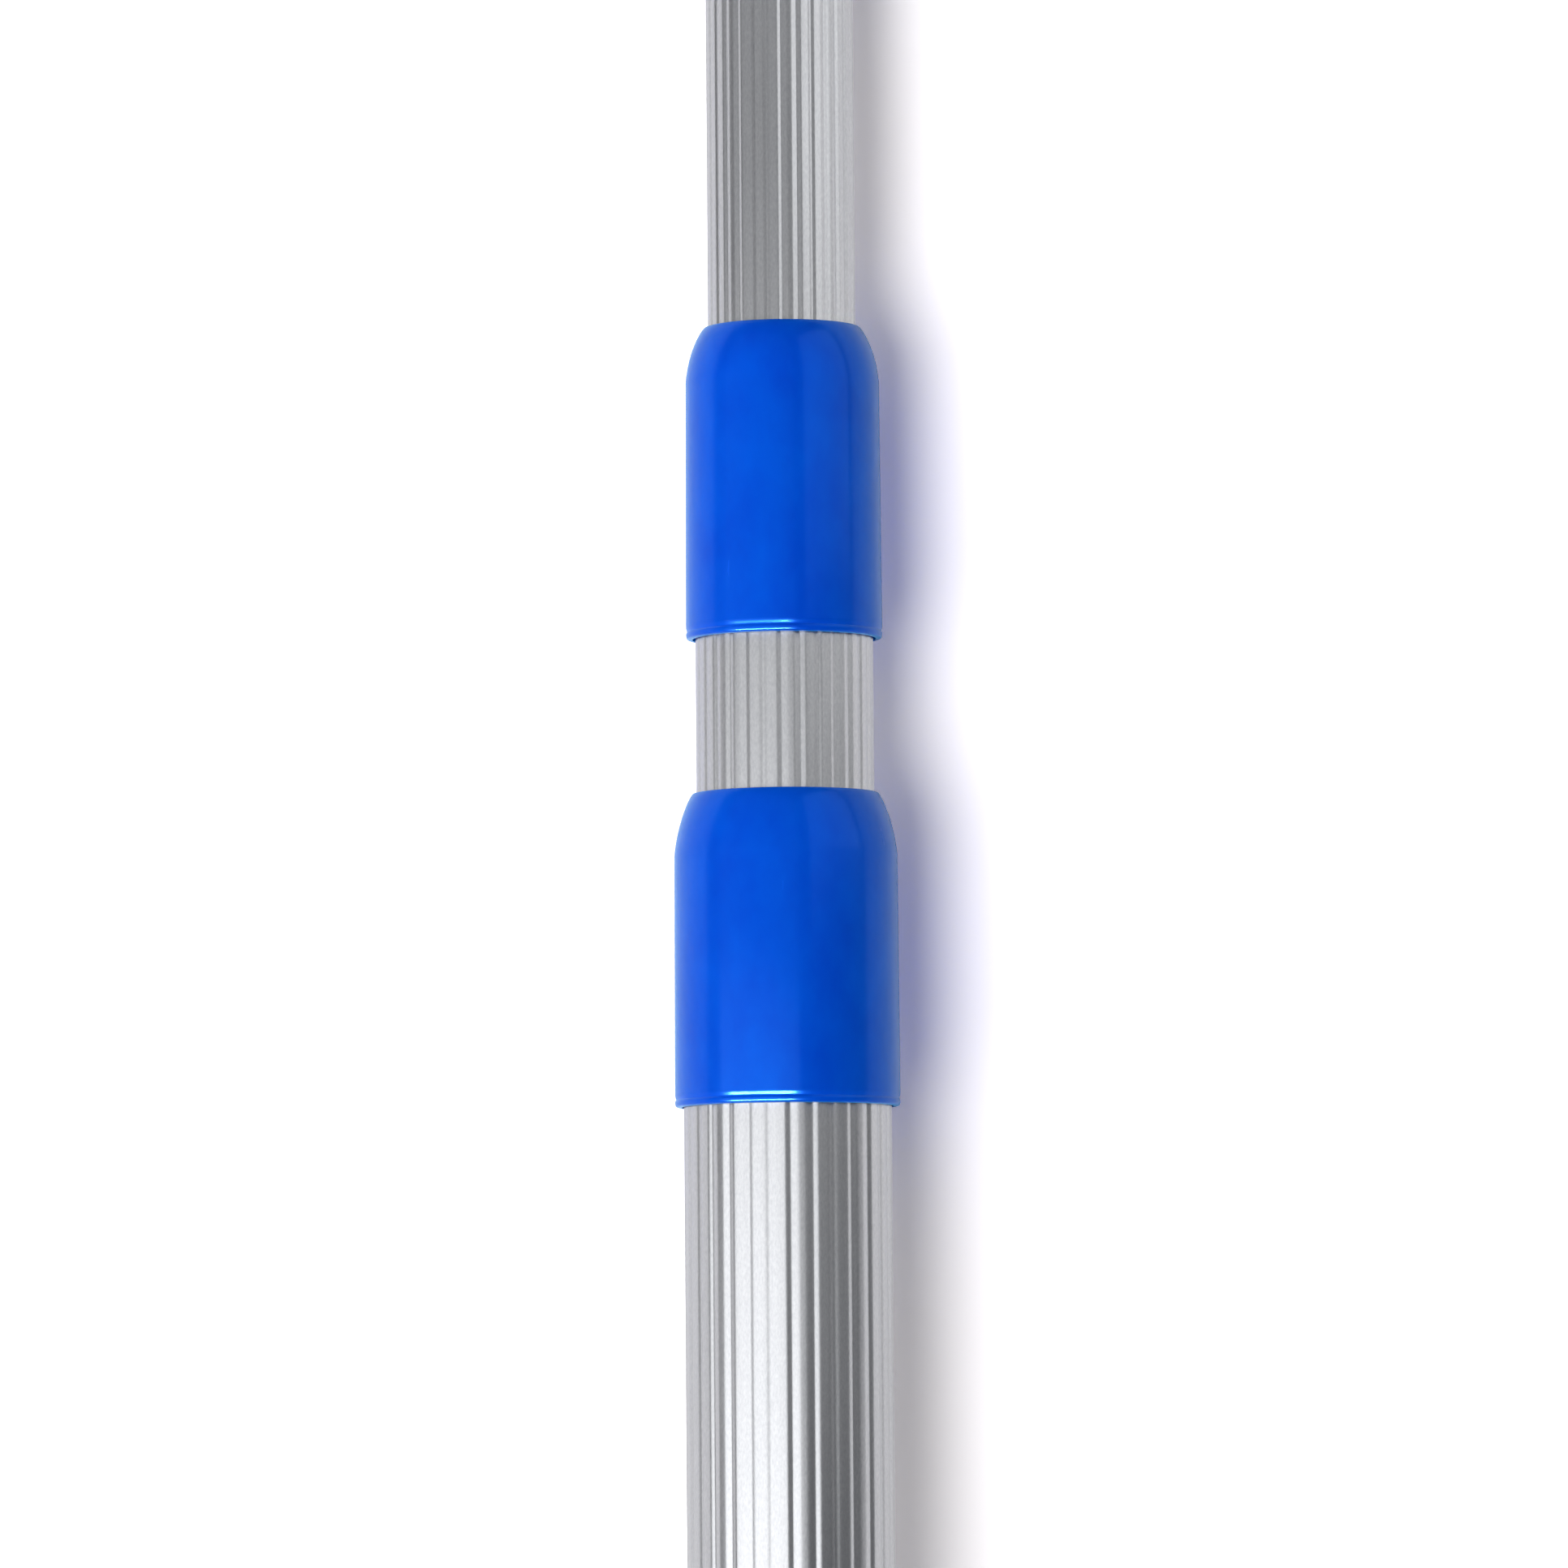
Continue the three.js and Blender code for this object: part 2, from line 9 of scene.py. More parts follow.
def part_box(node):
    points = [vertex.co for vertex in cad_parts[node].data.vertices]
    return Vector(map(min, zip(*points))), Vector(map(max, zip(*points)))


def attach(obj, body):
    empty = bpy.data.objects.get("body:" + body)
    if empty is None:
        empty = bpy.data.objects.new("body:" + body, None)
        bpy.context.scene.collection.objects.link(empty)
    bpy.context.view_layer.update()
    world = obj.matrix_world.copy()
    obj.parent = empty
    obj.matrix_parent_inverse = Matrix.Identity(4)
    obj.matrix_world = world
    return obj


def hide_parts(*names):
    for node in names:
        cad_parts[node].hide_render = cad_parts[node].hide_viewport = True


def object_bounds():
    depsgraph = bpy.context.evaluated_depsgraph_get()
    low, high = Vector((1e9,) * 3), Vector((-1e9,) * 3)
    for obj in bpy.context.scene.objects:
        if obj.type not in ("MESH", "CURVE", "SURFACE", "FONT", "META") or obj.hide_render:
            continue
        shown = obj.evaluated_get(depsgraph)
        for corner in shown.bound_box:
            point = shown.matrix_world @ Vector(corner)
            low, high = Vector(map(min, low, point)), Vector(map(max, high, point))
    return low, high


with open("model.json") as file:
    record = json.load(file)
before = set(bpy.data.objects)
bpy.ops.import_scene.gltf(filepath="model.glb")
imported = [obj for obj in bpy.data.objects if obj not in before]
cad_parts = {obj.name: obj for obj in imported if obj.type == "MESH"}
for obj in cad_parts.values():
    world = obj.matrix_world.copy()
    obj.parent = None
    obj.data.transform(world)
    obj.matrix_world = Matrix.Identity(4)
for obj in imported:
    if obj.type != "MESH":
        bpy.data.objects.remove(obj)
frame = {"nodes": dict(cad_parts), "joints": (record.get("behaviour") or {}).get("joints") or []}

cad_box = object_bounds()

# --- Outer tube -----------------------------------------------------------------------------------
# The thickest of three drawn aluminium tubes: thirty rounded flutes outside, a plain bore, satin
# anodised. The head's spigot sits in its foot, where two holes are drilled for the clip's buttons.

OUTER_RADIUS, OUTER_BORE = 0.014, 0.0128
OUTER_GROOVE_PHASE = 1.5
BUTTON_HOLE_RADIUS = 0.0041
BUTTON_STATION = 0.024

# The pole's own frame: local Z runs along the pole from the foot of the outer tube, -Y is upward.
slide = next(j for j in frame["joints"] if j["name"] == "middle_slide")
pole_axis = Vector(slide["axis"]).normalized()
tube_low, tube_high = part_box("outer_tube")
tube_middle = (tube_low + tube_high) / 2


def along(node, start=tube_middle):
    """First and last station of a CAD node along the pole, measured from a point on its axis."""
    reach = [(v.co - start).dot(pole_axis) for v in frame["nodes"][node].data.vertices]
    return min(reach), max(reach)


pole_foot = tube_middle + pole_axis * along("outer_tube")[0]
across = Vector((1, 0, 0))
down = pole_axis.cross(across)
pole_frame = Matrix.Translation(pole_foot) @ Matrix((across, down, pole_axis)).transposed().to_4x4()


def stations(node):
    """First and last station of a CAD node, measured from the foot of the pole."""
    return along(node, pole_foot)


def settle(piece, place):
    """Moves a finished piece from its own frame to its place, and leaves its object at the origin."""
    piece.matrix_world = place
    bpy.ops.object.select_all(action="DESELECT")
    piece.select_set(True)
    bpy.context.view_layer.objects.active = piece
    bpy.ops.object.transform_apply(location=True, rotation=True, scale=True)


def select_vertices(piece, wanted):
    """Selects the vertices that pass a test, and leaves the piece in edit mode."""
    bpy.ops.object.mode_set(mode="OBJECT")
    for edge in piece.data.edges:
        edge.select = False
    for face in piece.data.polygons:
        face.select = False
    for vertex in piece.data.vertices:
        vertex.select = wanted(vertex)
    bpy.ops.object.mode_set(mode="EDIT")


def close_ring():
    """Joins the two open ends of a wall to each other and turns its faces outwards."""
    bpy.ops.mesh.select_all(action="DESELECT")
    bpy.ops.mesh.select_non_manifold()
    bpy.ops.mesh.bridge_edge_loops()
    bpy.ops.mesh.select_all(action="SELECT")
    bpy.ops.mesh.normals_make_consistent(inside=False)
    bpy.ops.object.mode_set(mode="OBJECT")


def cut(piece, tool, operation="DIFFERENCE"):
    """Cuts a tool out of a piece, or joins it on, and removes the tool."""
    boolean = piece.modifiers.new("cut", "BOOLEAN")
    boolean.object = tool
    boolean.operation = operation
    boolean.solver = "EXACT"
    bpy.ops.object.select_all(action="DESELECT")
    bpy.context.view_layer.objects.active = piece
    piece.select_set(True)
    bpy.ops.object.modifier_apply(modifier=boolean.name)
    bpy.data.objects.remove(tool)


def smooth(piece, degrees=35):
    """Shades a piece smoothly, with sharp edges where its faces meet at more than an angle."""
    bpy.ops.object.select_all(action="DESELECT")
    piece.select_set(True)
    bpy.context.view_layer.objects.active = piece
    bpy.ops.object.shade_smooth_by_angle(angle=math.radians(degrees))


def flatten_normals(piece):
    """Keeps broad flat faces evenly shaded next to their rounded edges."""
    weighted = piece.modifiers.new("flat", "WEIGHTED_NORMAL")
    weighted.keep_sharp = True
    bpy.ops.object.select_all(action="DESELECT")
    piece.select_set(True)
    bpy.context.view_layer.objects.active = piece
    bpy.ops.object.modifier_apply(modifier=weighted.name)


FLUTES = 30
STEPS = 16
FLUTE_DEPTH = 0.00021
# How deep a groove is at each step away from its middle, as a share of its depth.
GROOVE_SHARES = (1.0, 0.84, 0.58, 0.32, 0.12, 0.02)


def fluted_tube(name, radius, bore, foot, top, groove_phase):
    """A tube with broad ribs between rounded grooves. groove_phase is in degrees from the top."""
    bpy.ops.object.select_all(action="DESELECT")
    sides = FLUTES * STEPS
    bpy.ops.mesh.primitive_circle_add(
        vertices=sides,
        radius=radius,
        location=(0, 0, foot),
        rotation=(0, 0, math.radians(groove_phase + 180)),
    )
    tube = bpy.context.object
    tube.name = name
    bpy.ops.object.transform_apply(location=True, rotation=True, scale=True)
    for step in range(STEPS):
        beside = min(step, STEPS - step)
        if beside >= len(GROOVE_SHARES):
            continue
        share = 1 - FLUTE_DEPTH * GROOVE_SHARES[beside] / radius
        select_vertices(tube, lambda v: v.index % STEPS == step)
        bpy.ops.transform.resize(value=(share, share, 1), center_override=(0, 0, foot))
    bpy.ops.mesh.select_all(action="SELECT")
    bpy.ops.mesh.extrude_edges_move(TRANSFORM_OT_translate={"value": (0, 0, top - foot)})
    bpy.ops.mesh.extrude_edges_move(TRANSFORM_OT_translate={"value": (0, 0, 0)})
    bpy.ops.transform.resize(value=(bore / radius, bore / radius, 1), center_override=(0, 0, top))
    bpy.ops.mesh.extrude_edges_move(TRANSFORM_OT_translate={"value": (0, 0, foot - top)})
    close_ring()
    return tube


def feed(tree, shader, name, source):
    """Lets a node's result set one of the shader's inputs."""
    tree.links.new(source, shader.inputs[name])


def new_material(name, base, roughness, metallic=0.0):
    """A material with its shader, and Object coordinates turned so that Z runs along the pole."""
    material = bpy.data.materials.new(name)
    material.use_nodes = True
    tree = material.node_tree
    shader = tree.nodes["Principled BSDF"]
    shader.inputs["Base Color"].default_value = (*base, 1)
    shader.inputs["Roughness"].default_value = roughness
    shader.inputs["Metallic"].default_value = metallic
    coordinates = tree.nodes.new("ShaderNodeTexCoord")
    turned_round = tree.nodes.new("ShaderNodeMapping")
    turned_round.vector_type = "POINT"
    turned_round.inputs["Rotation"].default_value = pole_frame.inverted().to_euler()
    tree.links.new(coordinates.outputs["Object"], turned_round.inputs["Vector"])
    return material, tree, shader, turned_round.outputs["Vector"]


def noise(tree, vector, scale, stretch=(1, 1, 1), detail=3.0):
    """Noise with its size in features per metre, stretched along the axes."""
    mapping = tree.nodes.new("ShaderNodeMapping")
    mapping.inputs["Scale"].default_value = stretch
    texture = tree.nodes.new("ShaderNodeTexNoise")
    texture.inputs["Scale"].default_value = scale
    texture.inputs["Detail"].default_value = detail
    tree.links.new(vector, mapping.inputs["Vector"])
    tree.links.new(mapping.outputs["Vector"], texture.inputs["Vector"])
    return texture.outputs["Fac"]


def span(tree, value, low, high, start=0.3, stop=0.7):
    """Spreads a noise value over a range."""
    node = tree.nodes.new("ShaderNodeMapRange")
    node.inputs["From Min"].default_value = start
    node.inputs["From Max"].default_value = stop
    node.inputs["To Min"].default_value = low
    node.inputs["To Max"].default_value = high
    tree.links.new(value, node.inputs["Value"])
    return node.outputs["Result"]


def two_tone(tree, value, dark, light):
    """Colour between two tones."""
    node = tree.nodes.new("ShaderNodeMix")
    node.data_type = "RGBA"
    node.inputs["A"].default_value = (*dark, 1)
    node.inputs["B"].default_value = (*light, 1)
    tree.links.new(value, node.inputs["Factor"])
    return node.outputs["Result"]


def bump(tree, shader, value, height, before=None):
    """Relief of a given height in metres."""
    node = tree.nodes.new("ShaderNodeBump")
    node.inputs["Strength"].default_value = 1.0
    node.inputs["Distance"].default_value = height
    tree.links.new(value, node.inputs["Height"])
    if before is not None:
        tree.links.new(before, node.inputs["Normal"])
    tree.links.new(node.outputs["Normal"], shader.inputs["Normal"])
    return node.outputs["Normal"]


# Anodised aluminium: draw lines along the tube, a fine grain over them, and faint dull patches.
aluminium, tree, shader, vector = new_material("anodised_aluminium", (0.66, 0.67, 0.69), 0.28, 1.0)
draw_lines = noise(tree, vector, 2400, (1, 1, 0.004), 3)
grain = noise(tree, vector, 4200, (1, 1, 0.4), 2)
patches = noise(tree, vector, 60, (1, 1, 0.25), 2)
tone = two_tone(tree, span(tree, grain, 0, 1), (0.6, 0.61, 0.635), (0.7, 0.71, 0.73))
feed(tree, shader, "Base Color", tone)
feed(tree, shader, "Roughness", span(tree, patches, 0.28, 0.35))
relief = bump(tree, shader, draw_lines, 0.000004)
bump(tree, shader, grain, 0.000006, relief)

foot, top = stations("outer_tube")
outer_tube = fluted_tube(
    "outer_tube_fluted", OUTER_RADIUS, OUTER_BORE, foot, top, OUTER_GROOVE_PHASE
)
bpy.ops.mesh.primitive_cylinder_add(
    vertices=32,
    radius=BUTTON_HOLE_RADIUS,
    depth=4 * OUTER_RADIUS,
    location=(0, 0, BUTTON_STATION),
    rotation=(0, math.radians(90), 0),
)
cut(outer_tube, bpy.context.object)
smooth(outer_tube, 50)
outer_tube.data.materials.append(aluminium)
settle(outer_tube, pole_frame)
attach(outer_tube, "outer_stage")
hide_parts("outer_tube")

# --- Middle and inner tube ------------------------------------------------------------------------
# Two lighter tubes of the same drawn and fluted aluminium, each sliding in the next larger one.
# Their flutes aren't lined up with each other, since the tubes can turn.

MIDDLE_RADIUS, MIDDLE_BORE = 0.012, 0.0108
INNER_RADIUS, INNER_BORE = 0.010, 0.0088
for node, radius, bore, groove_phase, body in (
    ("middle_tube", MIDDLE_RADIUS, MIDDLE_BORE, -2.0, "middle_stage"),
    ("inner_tube", INNER_RADIUS, INNER_BORE, 1.0, "inner_stage"),
):
    foot, top = stations(node)
    tube = fluted_tube(node + "_fluted", radius, bore, foot, top, groove_phase)
    smooth(tube, 50)
    tube.data.materials.append(aluminium)
    settle(tube, pole_frame)
    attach(tube, body)
    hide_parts(node)

# --- Collars --------------------------------------------------------------------------------------
# Blue moulded sleeves pressed over the mouths of the two larger tubes. The domed top guides the next
# tube, and the foot rolls in to the tube with a small round lip.

COLLAR_LIP = 0.0009
COLLAR_CREASE = 0.00014
# The crease above the lip: height above the foot in lips, and how deep it is there as a share.
CREASE_SHAPE = (
    (1.0, 0.4),
    (1.12, 0.95),
    (1.18, 0.95),
    (1.33, 0.7),
    (1.48, 0.45),
    (1.63, 0.2),
    (1.75, 0.05),
    (2.0, 0.0),
)
COLLAR_PLAY = 0.0004
SLEEVE_PLAY = 0.0004
COLLAR_STEP = 0.0077
DOME_RISE, DOME_LEAN = 0.0043, 0.00035
MOUTH_LEAD, MOUTH_DROP, MOUTH_ROUND, MOUTH_DEPTH = 0.00055, 0.0003, 0.0001, 0.0004


def turned(name, outline, sides, hollow):
    """A round body about local Z: a ring is extruded and resized through each (radius, station).
    A hollow body closes on its first ring, and any other has a flat face at each end."""
    radius, station = outline[0]
    bpy.ops.object.select_all(action="DESELECT")
    bpy.ops.mesh.primitive_circle_add(vertices=sides, radius=radius, location=(0, 0, station))
    body = bpy.context.object
    body.name = name
    bpy.ops.object.transform_apply(location=True, rotation=True, scale=True)
    bpy.ops.object.mode_set(mode="EDIT")
    bpy.ops.mesh.select_all(action="SELECT")
    for next_radius, next_station in outline[1:]:
        climb = {"value": (0, 0, next_station - station)}
        bpy.ops.mesh.extrude_edges_move(TRANSFORM_OT_translate=climb)
        share = next_radius / radius
        bpy.ops.transform.resize(
            value=(share, share, 1), center_override=(0, 0, next_station)
        )
        radius, station = next_radius, next_station
    if hollow:
        close_ring()
    else:
        bpy.ops.mesh.select_all(action="SELECT")
        bpy.ops.mesh.fill_holes(sides=0)
        bpy.ops.mesh.normals_make_consistent(inside=False)
        bpy.ops.object.mode_set(mode="OBJECT")
    return body


def curve_points(start, first_pull, last_pull, end, steps):
    """Points of a smooth curve between two ends, after the start."""
    points = []
    for step in range(1, steps + 1):
        t = step / steps
        weights = ((1 - t) ** 3, 3 * t * (1 - t) ** 2, 3 * t * t * (1 - t), t**3)
        corners = (start, first_pull, last_pull, end)
        points.append(
            tuple(sum(w * c[i] for w, c in zip(weights, corners)) for i in range(2))
        )
    return points


# Blue plastic: clear deep colour with a soft gloss, very fine moulding grain and hairline scratches.
blue_plastic, tree, shader, vector = new_material("blue_plastic", (0.0, 0.08, 0.78), 0.24, 0.06)
shader.inputs["IOR"].default_value = 1.36
shader.inputs["Sheen Weight"].default_value = 0.4
shader.inputs["Sheen Roughness"].default_value = 0.5
shader.inputs["Sheen Tint"].default_value = (0.0, 0.6, 0.95, 1)
shader.inputs["Specular Tint"].default_value = (0.08, 0.6, 1.0, 1)
shader.inputs["Coat Weight"].default_value = 0.07
shader.inputs["Coat Roughness"].default_value = 0.12
shader.inputs["Subsurface Weight"].default_value = 0.12
shader.inputs["Subsurface Radius"].default_value = (0.05, 0.5, 1.0)
shader.inputs["Subsurface Scale"].default_value = 0.003
clouds = noise(tree, vector, 190, (1, 1, 0.6), 4)
tone = two_tone(tree, span(tree, clouds, 0, 1), (0.0, 0.068, 0.74), (0.0, 0.095, 0.83))
feed(tree, shader, "Base Color", tone)
scratch_field = noise(tree, vector, 420, (1, 1, 0.12), 5)
scratches = span(tree, scratch_field, 0, 1, 0.7, 0.8)
feed(tree, shader, "Roughness", span(tree, scratches, 0.2, 0.38, 0, 1))
skin = noise(tree, vector, 700, (1, 1, 1), 3)
relief = bump(tree, shader, skin, 0.000012)
bump(tree, shader, scratches, -0.000002, relief)

for node, tube_radius, next_radius, shoulder, shoulder_depth, skirt, body in (
    ("outer_collar", OUTER_RADIUS, MIDDLE_RADIUS, 0.01506, 0.0085, 0.01519, "outer_stage"),
    ("middle_collar", MIDDLE_RADIUS, INNER_RADIUS, 0.0131, 0.0075, 0.01328, "middle_stage"),
):
    foot, top = stations(node)
    guide = next_radius + COLLAR_PLAY
    pocket = tube_radius + SLEEVE_PLAY
    pocket_top = top - COLLAR_STEP
    bead = curve_points(
        (skirt - COLLAR_LIP, foot),
        (skirt - 0.1 * COLLAR_LIP, foot),
        (skirt, foot + 0.1 * COLLAR_LIP),
        (skirt, foot + 0.9 * COLLAR_LIP),
        10,
    )
    dome = curve_points(
        (shoulder, top - shoulder_depth),
        (shoulder - DOME_LEAN, top - shoulder_depth + DOME_RISE),
        (guide + MOUTH_LEAD, top - MOUTH_DROP),
        (guide + MOUTH_ROUND, top - MOUTH_ROUND),
        16,
    )
    crease = [
        (skirt - share * COLLAR_CREASE, foot + height * COLLAR_LIP) for height, share in CREASE_SHAPE
    ]
    outline = [
        (pocket, pocket_top),
        (pocket, foot),
        (skirt - COLLAR_LIP, foot),
        *bead,
        *crease,
        (shoulder, top - shoulder_depth),
        *dome,
        (guide, top - MOUTH_DEPTH),
        (guide, pocket_top),
    ]
    collar = turned(node + "_moulded", outline, 128, True)
    smooth(collar, 40)
    collar.data.materials.append(blue_plastic)
    settle(collar, pole_frame)
    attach(collar, body)
    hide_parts(node)

# --- Hand grip ------------------------------------------------------------------------------------
# A soft moulded sleeve pushed over the end of the inner tube. Its waist has shallow rings for the
# fingers, and both ends stand a little proud.

GRIP_RADIUS = 0.0145
GRIP_WAIST = 0.0136
GRIP_PLAY = 0.0004
GRIP_END = 0.010
GRIP_TAPER = 0.008
RING_PITCH = 0.004
RING_DEPTH = 0.0005

soft_grip, tree, shader, vector = new_material("soft_grip", (0.01, 0.1, 0.6), 0.6)
clouds = noise(tree, vector, 120, (1, 1, 0.5), 3)
tone = two_tone(tree, span(tree, clouds, 0, 1), (0.006, 0.085, 0.52), (0.014, 0.12, 0.66))
feed(tree, shader, "Base Color", tone)
pores = noise(tree, vector, 2400, (1, 1, 1), 4)
feed(tree, shader, "Roughness", span(tree, pores, 0.5, 0.72))
bump(tree, shader, pores, 0.00006)

foot, top = stations("hand_grip")
bore = INNER_RADIUS + GRIP_PLAY
waist_foot = foot + GRIP_END + GRIP_TAPER
waist_top = top - GRIP_END - GRIP_TAPER
rings = []
for ring in range(round((waist_top - waist_foot) / RING_PITCH)):
    start = waist_foot + ring * RING_PITCH
    rings.append((GRIP_WAIST, start))
    rings.append((GRIP_WAIST, start + 0.5 * RING_PITCH))
    rings.append((GRIP_WAIST - 0.7 * RING_DEPTH, start + 0.6 * RING_PITCH))
    rings.append((GRIP_WAIST - RING_DEPTH, start + 0.75 * RING_PITCH))
    rings.append((GRIP_WAIST - 0.7 * RING_DEPTH, start + 0.9 * RING_PITCH))
outline = [
    (bore, foot),
    (GRIP_RADIUS - 0.0015, foot),
    (GRIP_RADIUS - 0.0006, foot + 0.0003),
    (GRIP_RADIUS, foot + 0.0015),
    (GRIP_RADIUS, foot + GRIP_END - 0.001),
    (GRIP_RADIUS - 0.00015, foot + GRIP_END + 0.001),
    (GRIP_WAIST + 0.00015, waist_foot - 0.001),
    *rings,
    (GRIP_WAIST, waist_top),
    (GRIP_WAIST + 0.00015, waist_top + 0.001),
    (GRIP_RADIUS - 0.00015, top - GRIP_END - 0.001),
    (GRIP_RADIUS, top - GRIP_END + 0.001),
    (GRIP_RADIUS, top - 0.0006),
    (GRIP_RADIUS - 0.0005, top),
    (bore, top),
]
hand_grip = turned("hand_grip_moulded", outline, 96, True)
smooth(hand_grip, 40)
hand_grip.data.materials.append(soft_grip)
settle(hand_grip, pole_frame)
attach(hand_grip, "inner_stage")
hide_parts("hand_grip")

# --- End cap --------------------------------------------------------------------------------------
# A moulded stopper in the mouth of the inner tube. Its flange covers the end of the grip, and a flat
# rounded tab with a hole hangs on a hook.

CAP_FLANGE = 0.004
TAB_HALF = 0.011
TAB_THICKNESS = 0.008
TAB_HOLE = 0.0045
TAB_ROUND = 0.0013
STOPPER_RADIUS = 0.0085

cap_foot, cap_end = stations("end_cap")
flange_foot = stations("hand_grip")[1] + 0.0003
flange_top = flange_foot + CAP_FLANGE
outline = [
    (STOPPER_RADIUS - 0.001, cap_foot),
    (STOPPER_RADIUS, cap_foot + 0.002),
    (STOPPER_RADIUS, flange_foot),
    (GRIP_RADIUS - 0.0004, flange_foot),
    (GRIP_RADIUS, flange_foot + 0.0004),
    (GRIP_RADIUS, flange_top - 0.0016),
    (GRIP_RADIUS - 0.0004, flange_top - 0.0007),
    (GRIP_RADIUS - 0.0014, flange_top - 0.0001),
    (GRIP_RADIUS - 0.002, flange_top),
    (0.002, flange_top),
]
end_cap = turned("end_cap_moulded", outline, 96, False)
tab_centre = cap_end - TAB_HALF
bpy.ops.object.select_all(action="DESELECT")
bpy.ops.mesh.primitive_cylinder_add(
    vertices=96,
    radius=TAB_HALF,
    depth=TAB_THICKNESS,
    location=(0, 0, tab_centre),
    rotation=(0, math.radians(90), 0),
)
tab = bpy.context.object
bpy.ops.object.transform_apply(location=True, rotation=True, scale=True)
select_vertices(tab, lambda v: v.co.z < tab_centre - 1e-5)
bpy.ops.transform.translate(value=(0, 0, flange_foot + 0.0015 - tab_centre + TAB_HALF))
bpy.ops.object.mode_set(mode="OBJECT")
bevel = tab.modifiers.new("rounded", "BEVEL")
bevel.width = TAB_ROUND
bevel.segments = 4
bevel.limit_method = "ANGLE"
bevel.angle_limit = math.radians(50)
bpy.ops.object.modifier_apply(modifier=bevel.name)
face_at = TAB_THICKNESS / 2
spool = [
    (TAB_HOLE + TAB_ROUND, -face_at - 0.001),
    (TAB_HOLE + TAB_ROUND, -face_at),
    *curve_points(
        (TAB_HOLE + TAB_ROUND, -face_at),
        (TAB_HOLE + 0.45 * TAB_ROUND, -face_at),
        (TAB_HOLE, -face_at + 0.45 * TAB_ROUND),
        (TAB_HOLE, -face_at + TAB_ROUND),
        4,
    ),
    *curve_points(
        (TAB_HOLE, face_at - TAB_ROUND),
        (TAB_HOLE, face_at - 0.45 * TAB_ROUND),
        (TAB_HOLE + 0.45 * TAB_ROUND, face_at),
        (TAB_HOLE + TAB_ROUND, face_at),
        4,
    ),
    (TAB_HOLE + TAB_ROUND, face_at + 0.001),
]
tool = turned("tool", spool, 64, False)
settle(tool, Matrix.Translation((0, 0, tab_centre)) @ Matrix.Rotation(math.radians(90), 4, "Y"))
cut(tab, tool)
cut(end_cap, tab, "UNION")
smooth(end_cap, 40)
flatten_normals(end_cap)
end_cap.data.materials.append(blue_plastic)
settle(end_cap, pole_frame)
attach(end_cap, "inner_stage")
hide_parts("end_cap")

# --- Twist locks ----------------------------------------------------------------------------------
# Inside the pole each sliding tube ends in a white moulded plug with an eccentric journal. A split
# grey ring turns on the journal until it jams in the larger tube, and a screw keeps it on. The
# plates of the spring clip get their plated steel here as well.

white_plastic, tree, shader, vector = new_material("white_plastic", (0.82, 0.83, 0.83), 0.42)
clouds = noise(tree, vector, 150, (1, 1, 1), 3)
tone = two_tone(tree, span(tree, clouds, 0, 1), (0.77, 0.78, 0.77), (0.85, 0.86, 0.86))
feed(tree, shader, "Base Color", tone)
skin = noise(tree, vector, 1800, (1, 1, 1), 3)
feed(tree, shader, "Roughness", span(tree, skin, 0.36, 0.5))
bump(tree, shader, skin, 0.00003)

grey_plastic, tree, shader, vector = new_material("grey_plastic", (0.13, 0.14, 0.15), 0.5)
clouds = noise(tree, vector, 150, (1, 1, 1), 3)
tone = two_tone(tree, span(tree, clouds, 0, 1), (0.1, 0.11, 0.12), (0.16, 0.17, 0.18))
feed(tree, shader, "Base Color", tone)
skin = noise(tree, vector, 1800, (1, 1, 1), 3)
feed(tree, shader, "Roughness", span(tree, skin, 0.42, 0.6))
bump(tree, shader, skin, 0.00004)

# Plated steel: nearly mirror bright, with fine handling marks.
bright_steel, tree, shader, vector = new_material("bright_steel", (0.7, 0.7, 0.71), 0.22, 1.0)
marks = noise(tree, vector, 900, (1, 0.2, 1), 4)
tone = two_tone(tree, span(tree, marks, 0, 1), (0.62, 0.62, 0.63), (0.76, 0.76, 0.77))
feed(tree, shader, "Base Color", tone)
feed(tree, shader, "Roughness", span(tree, marks, 0.16, 0.32))
bump(tree, shader, marks, 0.00001)

for node, finish in (
    ("middle_lock_plug", white_plastic),
    ("inner_lock_plug", white_plastic),
    ("middle_lock_cam", grey_plastic),
    ("inner_lock_cam", grey_plastic),
    ("clip_bridge", bright_steel),
    ("clip_arm_left", bright_steel),
    ("clip_arm_right", bright_steel),
):
    frame["nodes"][node].data.materials.clear()
    frame["nodes"][node].data.materials.append(finish)

# --- Screws ---------------------------------------------------------------------------------------
# Plated pan-head screws with a cross recess: four through the foot of the head, one on the clip, and
# a wide one under each twist lock.

RECESS_WIDTH = 0.0009
THREAD_PITCH, THREAD_DEPTH = 0.0008, 0.00035
SCREW_POINT, PLAIN_SHANK = 0.002, 0.0025


def cross_screw(name, outline, recess_reach, recess_depth):
    """A screw with its head at the top of local Z. Its recess is two crossed slots."""
    screw = turned(name, outline, 48, False)
    head_top = max(station for _, station in outline)
    for turn in (0, 90):
        bpy.ops.object.select_all(action="DESELECT")
        bpy.ops.mesh.primitive_cube_add(
            size=1,
            location=(0, 0, head_top),
            rotation=(0, 0, math.radians(turn)),
            scale=(2 * recess_reach, RECESS_WIDTH, 2 * recess_depth),
        )
        cut(screw, bpy.context.object)
    smooth(screw, 35)
    screw.data.materials.append(bright_steel)
    return screw


